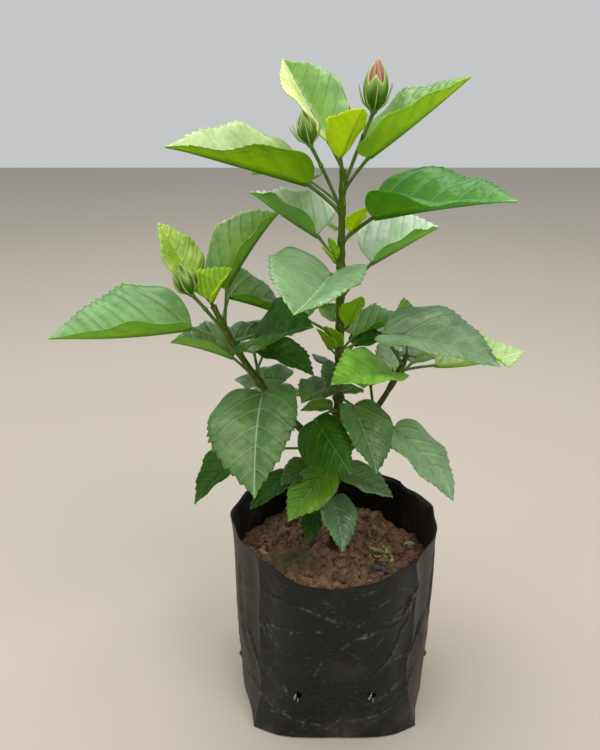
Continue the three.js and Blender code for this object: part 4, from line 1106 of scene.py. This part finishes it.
def bagMaterial():
    # black polythene film: a soft scuffed gloss, dusted brown by soil splash, its creases worn grey; the brown
    # on its sides is a painted reflection of the ground
    material, tree, surface = newMaterial("black polythene film")
    place = addNode(tree, "TexCoord").outputs["Object"]
    axes = addNode(tree, "SeparateXYZ", links={0: place})
    # clouds of dust about 35 mm across; the film is also browner near the ground, and on its sides by a painted
    # reflection of the ground
    clouds = {"Scale": 28.0, "Detail": 7.0, "Roughness": 0.68}
    dust = addNode(tree, "TexNoise", {}, clouds, {"Vector": place})
    aside = addNode(tree, "Math", {"operation": "ABSOLUTE"}, links={0: axes.outputs[0]})
    # painted reflection of the ground on the sides
    sides = addNode(tree, "MapRange", smooth, {1: 0.044, 2: 0.068, 3: 0.0, 4: 0.22}, {0: aside})
    low = addNode(tree, "MapRange", smooth, {1: 0.0, 2: 0.03, 3: 0.14, 4: 0.0}, {0: axes.outputs[2]})
    more = addNode(tree, "Math", {"operation": "ADD"}, links={0: sides, 1: low})
    dustAndReflection = addNode(tree, "Math", {"operation": "ADD"}, links={0: dust, 1: more})
    toDustAndReflection = [(0.38, "#090b0c"), (0.54, "#121413"), (0.68, "#2a2824"), (0.90, "#5a4d40")]
    film = colourRamp(tree, dustAndReflection, toDustAndReflection)
    # fine scuffs, 0.5 mm wide and slanting
    slanted = addNode(tree, "Mapping", {}, {"Rotation": (0, 0.6, 0), "Scale": (1, 1, 5)}, {"Vector": place})
    scuff = addNode(tree, "TexNoise", {}, {"Scale": 300.0, "Detail": 2.0}, {"Vector": slanted})
    scuffed = addNode(tree, "MapRange", {}, {1: 0.66, 2: 0.78, 3: 0.0, 4: 0.35}, {0: scuff})
    worn = addNode(tree, "Attribute", {"attribute_name": "wear"}).outputs["Fac"]
    patchy = addNode(tree, "MapRange", {}, {1: 0.35, 2: 0.6, 3: 0.3, 4: 1.0}, {0: scuff})
    line = addNode(tree, "Math", {"operation": "MULTIPLY"}, links={0: worn, 1: patchy})
    pale = addNode(tree, "Math", {"operation": "MAXIMUM"}, links={0: line, 1: scuffed})
    share = addNode(tree, "Math", {"operation": "MULTIPLY"}, {1: 0.8}, {0: pale})
    colour = addNode(tree, "Mix", colours, {7: linear("#a3a6a3")}, {0: share, 6: film.outputs[0]})
    tree.links.new(colour.outputs[2], surface.inputs["Base Color"])
    rough = addNode(tree, "MapRange", {}, {1: 0.4, 2: 0.8, 3: 0.28, 4: 0.62}, {0: dustAndReflection})
    tree.links.new(rough.outputs[0], surface.inputs["Roughness"])
    crinkles = {"Scale": 110.0, "Detail": 4.0, "Distortion": 0.6}
    crinkle = addNode(tree, "TexNoise", {}, crinkles, {"Vector": place})
    bumps = addNode(tree, "Bump", {}, {"Strength": 0.5, "Distance": 0.001}, {"Height": crinkle})
    tree.links.new(bumps.outputs[0], surface.inputs["Normal"])
    surface.inputs["Specular IOR Level"].default_value = 0.4
    surface.inputs["IOR"].default_value = 1.4
    return material


def makeBag():
    # the outer side from base to rim, with a rounded edge below, then the inner side one film further in
    turn = (tau * np.arange(bag["around"]) / bag["around"])[None, :]
    share = np.linspace(0, 1, bag["up"])[:, None] ** 1.05
    z = share * rimHeight(turn)
    creases, wear = filmWear(turn, z)
    edge = bag["edgeRadius"]
    foot = edge - np.sqrt(np.maximum(edge**2 - np.clip(edge - z, 0, edge) ** 2, 0))
    r = bagRadius(turn, z) + filmPush(turn, z) + creases * np.clip(z / 6, 0, 1) - foot
    outer = np.stack([r * np.cos(turn), r * np.sin(turn), z], -1)
    picked = np.linspace(bag["up"] - 1, 1, bag["inside"]).round().astype(int)
    inner = outer[picked].copy()
    inner[..., :2] *= ((r[picked] - bag["film"]) / r[picked])[..., None]
    inner[-1, :, 2] = bag["film"]
    shape = closedRound(np.concatenate([outer, inner]))
    worn = {"wear": np.concatenate([wear.ravel(), wear[picked].ravel() * 0.5, [0, 0]])}
    film = makePiece("bag_film", shape, [bagMaterial()], ["grow_bag"], attributes=worn)
    cutHoles(film)


def cutHoles(film):
    # ragged drain holes, cut right through the film, each with three torn flaps that stand out from its edge
    rng = np.random.default_rng(8)
    cutters, flaps = [], []
    n = bag["holePoints"]
    for x, side in bag["holes"]:
        a = tau * np.arange(n) / n
        ragged = bag["holeRadius"] * (1 + 0.25 * rng.uniform(-1, 1, n))
        y = side * np.array([50.0, 80.0])
        ring = np.stack([x + ragged * np.cos(a), 0 * a, bag["holeHeight"] + ragged * np.sin(a)], -1)
        rows = ring[None] + np.array([[[0, y[0], 0]], [[0, y[1], 0]]])
        cutters.append(closedRound(rows if side < 0 else rows[:, ::-1]))
        wall = side * bag["wall"][side > 0]
        for i in range(3):
            b = np.radians(125 + 60 * i + 25 * rng.random())
            t = np.linspace(0, 1, 6)[:, None]
            radial = np.array([np.cos(b), 0, np.sin(b)])
            start = np.array([x, wall - side * 0.9, bag["holeHeight"]]) + radial * bag["holeRadius"] * 0.9
            outwards = np.array([0, side, 0]) * (0.9 * np.sin(2.4 * t) + 0.5 * t)
            path = start + radial * t * rng.uniform(0.8, 1.8) + outwards
            flaps.append(tubeShape(path, 1.5 * (1 - t[:, 0]) ** 0.5 + 0.2, sides=10, flatten=0.22))
    mesh = bpy.data.meshes.new("cutter")
    points, faces, _, _ = joinShapes(cutters)
    mesh.from_pydata((points * mm).tolist(), [], [f for array in faces for f in array.tolist()])
    cutter = bpy.data.objects.new("cutter", mesh)
    bpy.context.scene.collection.objects.link(cutter)
    cut = film.modifiers.new("holes", "BOOLEAN")
    cut.object = cutter
    cut.operation = "DIFFERENCE"
    cut.solver = "EXACT"
    whole = bpy.data.meshes.new_from_object(film.evaluated_get(bpy.context.evaluated_depsgraph_get()))
    film.modifiers.clear()
    film.data = whole
    bpy.data.objects.remove(cutter)
    print("bag film with holes", len(whole.polygons), "faces")
    # polythene goes white where it was stretched and torn
    torn = plainMaterial("torn whitened film", "#8b8d86", 0.5)
    makePiece("torn_film", joinShapes(flaps), [torn])


makeBag()
print("bag")


# The soil.
soil = {
    "top": 107, "flatRadius": 10, "fall": 5,  # a mound, flat in the middle, that falls off towards the bag
    "lump": 1.6,  # height of its broad waves
    "hollow": (48, 30), "hollowSize": (22, 26), "hollowDepth": 7,  # where it lies lower
    "around": 420, "out": 112,  # points round and outwards
    "bottom": 86, "meets": 103,  # heights: of its underside, and where it meets the bag
    "gap": 0.15,  # to the bag
    "grain": ((15, 1.5), (7, 1.5), (3.4, 1.0), (1.7, 0.45)),  # size across and height of each kind of lump
    "mossy": (-30, -12, 19, 13),  # a smooth greenish patch: its middle and half sizes
    "reach": 63,  # how far from the middle clods and fibres lie
    "clods": 520,
    "clodSize": (0.6, 3.0, 3.4),  # the smallest, what the largest has more, and how rare large ones are
    "fibres": 46, "fibreLength": (4, 12), "fibreRadius": (0.18, 0.42),
}


def valueNoise(x, y, size, seed):
    # smooth noise from 0 to 1: seeded values on a square lattice of this size, blended between its points
    values = np.random.default_rng(seed).random((96, 96))
    i, j = x / size + 48, y / size + 48
    a, b = np.floor(i).astype(int), np.floor(j).astype(int)
    s, t = i - a, j - b
    s, t = s * s * (3 - 2 * s), t * t * (3 - 2 * t)
    a, b = a % 95, b % 95
    low = values[a, b] * (1 - s) + values[a + 1, b] * s
    high = values[a, b + 1] * (1 - s) + values[a + 1, b + 1] * s
    return low * (1 - t) + high * t


def mossShare(x, y):
    # 1 on the mossy patch, falling off fast at its oval edge
    mx, my, wx, wy = soil["mossy"]
    return np.exp(-((((x - mx) / wx) ** 2 + ((y - my) / wy) ** 2) ** 2))


def soilHeight(x, y):
    # the mound of the model's source, lower beside the bag at the back right, with lumps of several sizes
    r = np.hypot(x, y)
    out = np.maximum(0, r - soil["flatRadius"]) / (bag["halfBase"] - soil["flatRadius"])
    lumps = np.sin(x * 0.21 + 1.3) * np.sin(y * 0.26 + 0.4) + 0.6 * np.sin(x * 0.43 - y * 0.37)
    (hx, hy), (wx, wy) = soil["hollow"], soil["hollowSize"]
    hollow = soil["hollowDepth"] * np.exp(-(((x - hx) / wx) ** 2 + ((y - hy) / wy) ** 2))
    height = soil["top"] - soil["fall"] * out**2 + soil["lump"] * lumps * np.minimum(1, out * 3) - hollow
    calm = 1 - 0.75 * mossShare(x, y)
    for number, (size, rise) in enumerate(soil["grain"]):
        wander = 0.4 * size * valueNoise(x, y, 2.1 * size, 40 + number)
        n = valueNoise(x + wander, y - wander, size, 20 + number)
        height = height + calm * rise * (1.6 * np.sqrt(np.abs(n - 0.5)) * np.sign(n - 0.5) - 0.1)
    return height


def soilMaterial(name, stops, scale=260.0):
    # damp potting soil: dark crumbs with drier, redder tops; as the same noise raises the bump, the dark of its
    # hollows is partly painted shade and the pale of its tops partly a painted highlight
    material, tree, surface = newMaterial(name)
    place = addNode(tree, "TexCoord").outputs["Object"]
    crumbly = {"Scale": scale, "Detail": 8.0, "Roughness": 0.72}
    crumbs = addNode(tree, "TexNoise", {}, crumbly, {"Vector": place})
    # dark hollows partly painted shade, pale tops partly painted highlight
    colour = colourRamp(tree, crumbs, stops)
    moss = addNode(tree, "Attribute", {"attribute_name": "moss"}).outputs["Fac"]
    mossy = colourRamp(tree, crumbs, [(0.3, "#302c1c"), (0.5, "#5a5338"), (0.72, "#7c7556")])
    sources = {0: moss, 6: colour.outputs[0], 7: mossy.outputs[0]}
    mixed = addNode(tree, "Mix", colours, {}, sources)
    tree.links.new(mixed.outputs[2], surface.inputs["Base Color"])
    bumps = addNode(tree, "Bump", {}, {"Strength": 0.9, "Distance": 0.001}, {"Height": crumbs})
    tree.links.new(bumps.outputs[0], surface.inputs["Normal"])
    surface.inputs["Roughness"].default_value = 0.9
    surface.inputs["Specular IOR Level"].default_value = 0.25
    return material


def lump(place, size, rng, slot, rings=5, sides=8, smoothness=6, flat=0.75):
    # a stone or crumb: a ball cut by seeded planes; the nearest plane in each direction gives its radius
    theta = np.pi * (np.arange(rings) + 0.7) / (rings + 0.4)
    phi = tau * np.arange(sides) / sides
    out, up = np.sin(theta)[:, None], np.cos(theta)[:, None]
    d = np.stack(np.broadcast_arrays(out * np.cos(phi), out * np.sin(phi), up), -1)
    planes = unit(rng.normal(size=(9, 3)))
    push = rng.uniform(0.62, 1.0, 9)
    ratio = np.maximum(d @ planes.T / push, 0.2)
    r = 1 / (ratio**smoothness).sum(-1) ** (1 / smoothness)
    spin = rng.uniform(0, tau)
    stretch = np.array([size * rng.uniform(0.8, 1.3), size, size * flat])
    body = d * r[..., None] * stretch @ spinRows(spin)
    points, faces, uv, _ = closedRound(body[::-1] + place)
    return points, faces, uv, [slot] * 3


def onSoil(x, y, lift):
    # a point this far over the soil
    return np.array([x, y, float(soilHeight(np.array([x]), np.array([y]))[0]) + lift])


def makeSoil():
    # the ground: rings from the bag inwards, over a straight side that goes down inside the film
    turn = (tau * np.arange(soil["around"]) / soil["around"])[None, :]
    share = np.linspace(1, 0.004, soil["out"])[:, None]
    level = np.full(turn.shape, float(soil["meets"]))
    film = bagRadius(turn, level) + filmPush(turn, level) + filmWear(turn, level)[0]
    edge = film - bag["film"] - soil["gap"]
    x, y = share * edge * np.cos(turn), share * edge * np.sin(turn)
    top = np.stack([x, y, soilHeight(x, y)], -1)
    low = top[:1].copy()
    low[..., :2] *= 0.985
    low[..., 2] = soil["bottom"]
    rows = np.concatenate([low, top])
    moss = {"moss": np.concatenate([mossShare(rows[..., 0], rows[..., 1]).ravel(), [0, 0]])}
    brown = [(0.28, "#3a2a1f"), (0.44, "#705541"), (0.6, "#96775c"), (0.78, "#cbb096")]
    ground = soilMaterial("damp potting soil", brown)
    makePiece("potting_soil", closedRound(rows), [ground], ["soil"], attributes=moss)
    rng = np.random.default_rng(21)
    shapes = growClods(rng) + growFibres(rng)
    clodLooks = [
        soilMaterial("dark soil crumbs", [(0.3, "#3f2f24"), (0.55, "#715746"), (0.75, "#967a66")], 420.0),
        soilMaterial("red soil crumbs", [(0.3, "#5a3a2b"), (0.55, "#a07460"), (0.75, "#c49a82")], 420.0),
        soilMaterial("brown soil crumbs", [(0.3, "#4a372a"), (0.55, "#8c6e59"), (0.75, "#b3957c")], 420.0),
        plainMaterial("dry root fibre", "#7d6350", 0.85),
    ]
    makePiece("soil_clods", joinShapes(shapes), clodLooks, attributes={"moss": None})
    makeLitter(rng)


def growClods(rng):
    # spread evenly, but few on the moss and none at the stem or against the bag; most are small
    smallest, larger, rare = soil["clodSize"]
    shapes = []
    while len(shapes) < soil["clods"]:
        r, a = (soil["reach"] + 1) * np.sqrt(rng.random()), rng.uniform(0, tau)
        x, y = r * np.cos(a), r * np.sin(a)
        if r < 6 or mossShare(x, y) > rng.uniform(0.05, 0.5):
            continue
        size = smallest + larger * rng.random() ** rare
        if r + size <= soil["reach"]:
            shapes.append(lump(onSoil(x, y, 0.25 * size), size, rng, int(rng.integers(0, 3))))
    return shapes


def growFibres(rng):
    # bent threads that lie on the highest crumbs below them
    shapes = []
    t = np.linspace(-0.5, 0.5, 6)
    for _ in range(soil["fibres"]):
        r, a, b = (soil["reach"] - 5) * np.sqrt(rng.random()), rng.uniform(0, tau), rng.uniform(0, tau)
        reach = rng.uniform(*soil["fibreLength"])
        x = r * np.cos(a) + np.cos(b) * t * reach
        y = r * np.sin(a) + np.sin(b) * t * reach + 0.08 * reach * np.sin(np.linspace(0, 3, 6))
        z = soilHeight(x, y)
        z = 0.5 * z + 0.5 * z.max() + 0.25
        if np.hypot(x, y).max() < soil["reach"]:
            radii = np.full(6, rng.uniform(*soil["fibreRadius"]))
            shapes.append(tubeShape(np.stack([x, y, z], -1), radii, sides=5, slot=3))
    return shapes


def makeLitter(rng):
    # what lies on the soil: pebbles and pale green crumbs at the front right, two pale chips, a wilted leaf
    shapes = []
    for i in range(9):
        x, y = rng.normal(31, 4.5), rng.normal(-20, 3.0)
        size = rng.uniform(1.5, 3.0)
        form = {"rings": 7, "sides": 12, "smoothness": 3, "flat": 0.7}
        shapes.append(lump(onSoil(x, y, 0.6 * size), size, rng, int(i % 3 == 0), **form))
    for i in range(34):
        x, y = rng.normal(36, 4.6), rng.normal(-2, 5.0)
        place = onSoil(x, y, rng.uniform(0.6, 2.4))
        shapes.append(lump(place, rng.uniform(0.8, 1.7), rng, 2 + i % 2, flat=0.5))
    # a half-moon chip at the right, a longer one at the left
    t = np.linspace(0, np.pi, 12)
    for (x, y), size, slot, spin in (((56, 20), 4.2, 4, 0.15), ((-47.5, -3), 5.6, 5, 2.3)):
        middle = onSoil(x, y, 2.2)
        across = np.stack([np.cos(t) * size, np.sin(t) * size * 0.35, 0.5 * np.sin(t)], -1)
        path = middle + across @ spinRows(spin)
        shapes.append(tubeShape(path, 0.3 + 2.2 * np.sin(t) ** 0.7, sides=12, slot=slot, flatten=0.5))
    litterLooks = [
        plainMaterial("grey pebble", "#4d4945", 0.6),
        plainMaterial("brown pebble", "#66584c", 0.65),
        plainMaterial("pale green crumb", "#a9b57c", 0.7),
        plainMaterial("yellow green crumb", "#8b9a55", 0.7),
        plainMaterial("white chip", "#d3d0bd", 0.6),
        plainMaterial("weathered chip", "#a39c7c", 0.8),
    ]
    makePiece("soil_litter", joinShapes(shapes), litterLooks)
    wilted = leafRow((1, 0, 0), (11, -78, -42), 6, "mid", fold=35, bend=25)
    look = [leafMaterial("wilted leaf", "#6f4a3f", "#4c332c", "#8c6a5c", 0.7, 0.5)]
    base = onSoil(-13.5, 8, 5.5)
    makePiece("wilted_leaf", bladeShape(wilted, base, (0, 0, 0), rng), look)


makeSoil()
print("soil")


# The studio: a plain pale floor, one broad light from above and behind, and softer ones from the front.
studio = {
    "floor": "#b4aea4",
    "floorHalf": 3,  # metres
    "middle": (0, 0, 0.22),  # metres, of the plant
    "sky": "#e3e5e6",
    "skyStrength": 0.72,
    "lights": [
        # place, size and power in watts, colour
        ((-0.2, 0.2, 1.7), 1.3, 22, "#fff8ee"),
        ((0.5, -0.75, 1.35), 0.8, 10, "#fff6ea"),
        ((-0.9, -0.6, 1.1), 0.9, 3, "#f2f6ff"),
    ],
}


def makeStudio():
    # the floor is a square at the bag's underside; each lamp faces the plant's middle
    mesh = bpy.data.meshes.new("floor")
    far = studio["floorHalf"]
    mesh.from_pydata([(-far, -far, 0), (far, -far, 0), (far, far, 0), (-far, far, 0)], [], [(0, 1, 2, 3)])
    mesh.materials.append(plainMaterial("pale floor", studio["floor"], 0.9))
    floor = bpy.data.objects.new("floor", mesh)
    bpy.context.scene.collection.objects.link(floor)
    for number, (place, size, power, colour) in enumerate(studio["lights"]):
        lamp = bpy.data.lights.new(f"soft_light_{number + 1}", "AREA")
        lamp.size = size
        lamp.energy = power
        lamp.color = linear(colour)[:3]
        light = bpy.data.objects.new(lamp.name, lamp)
        light.location = place
        x, y, z = np.array(studio["middle"]) - np.array(place)
        light.rotation_euler = (np.arctan2(np.hypot(x, y), -z), 0, np.arctan2(y, x) - np.pi / 2)
        bpy.context.scene.collection.objects.link(light)
    world = bpy.data.worlds.new("soft sky")
    world.use_nodes = True
    world.node_tree.nodes["Background"].inputs[0].default_value = linear(studio["sky"])
    world.node_tree.nodes["Background"].inputs[1].default_value = studio["skyStrength"]
    bpy.context.scene.world = world
    bpy.context.scene.view_settings.view_transform = "Standard"  # keeps the greens as strong as in daylight


makeStudio()
print("studio")
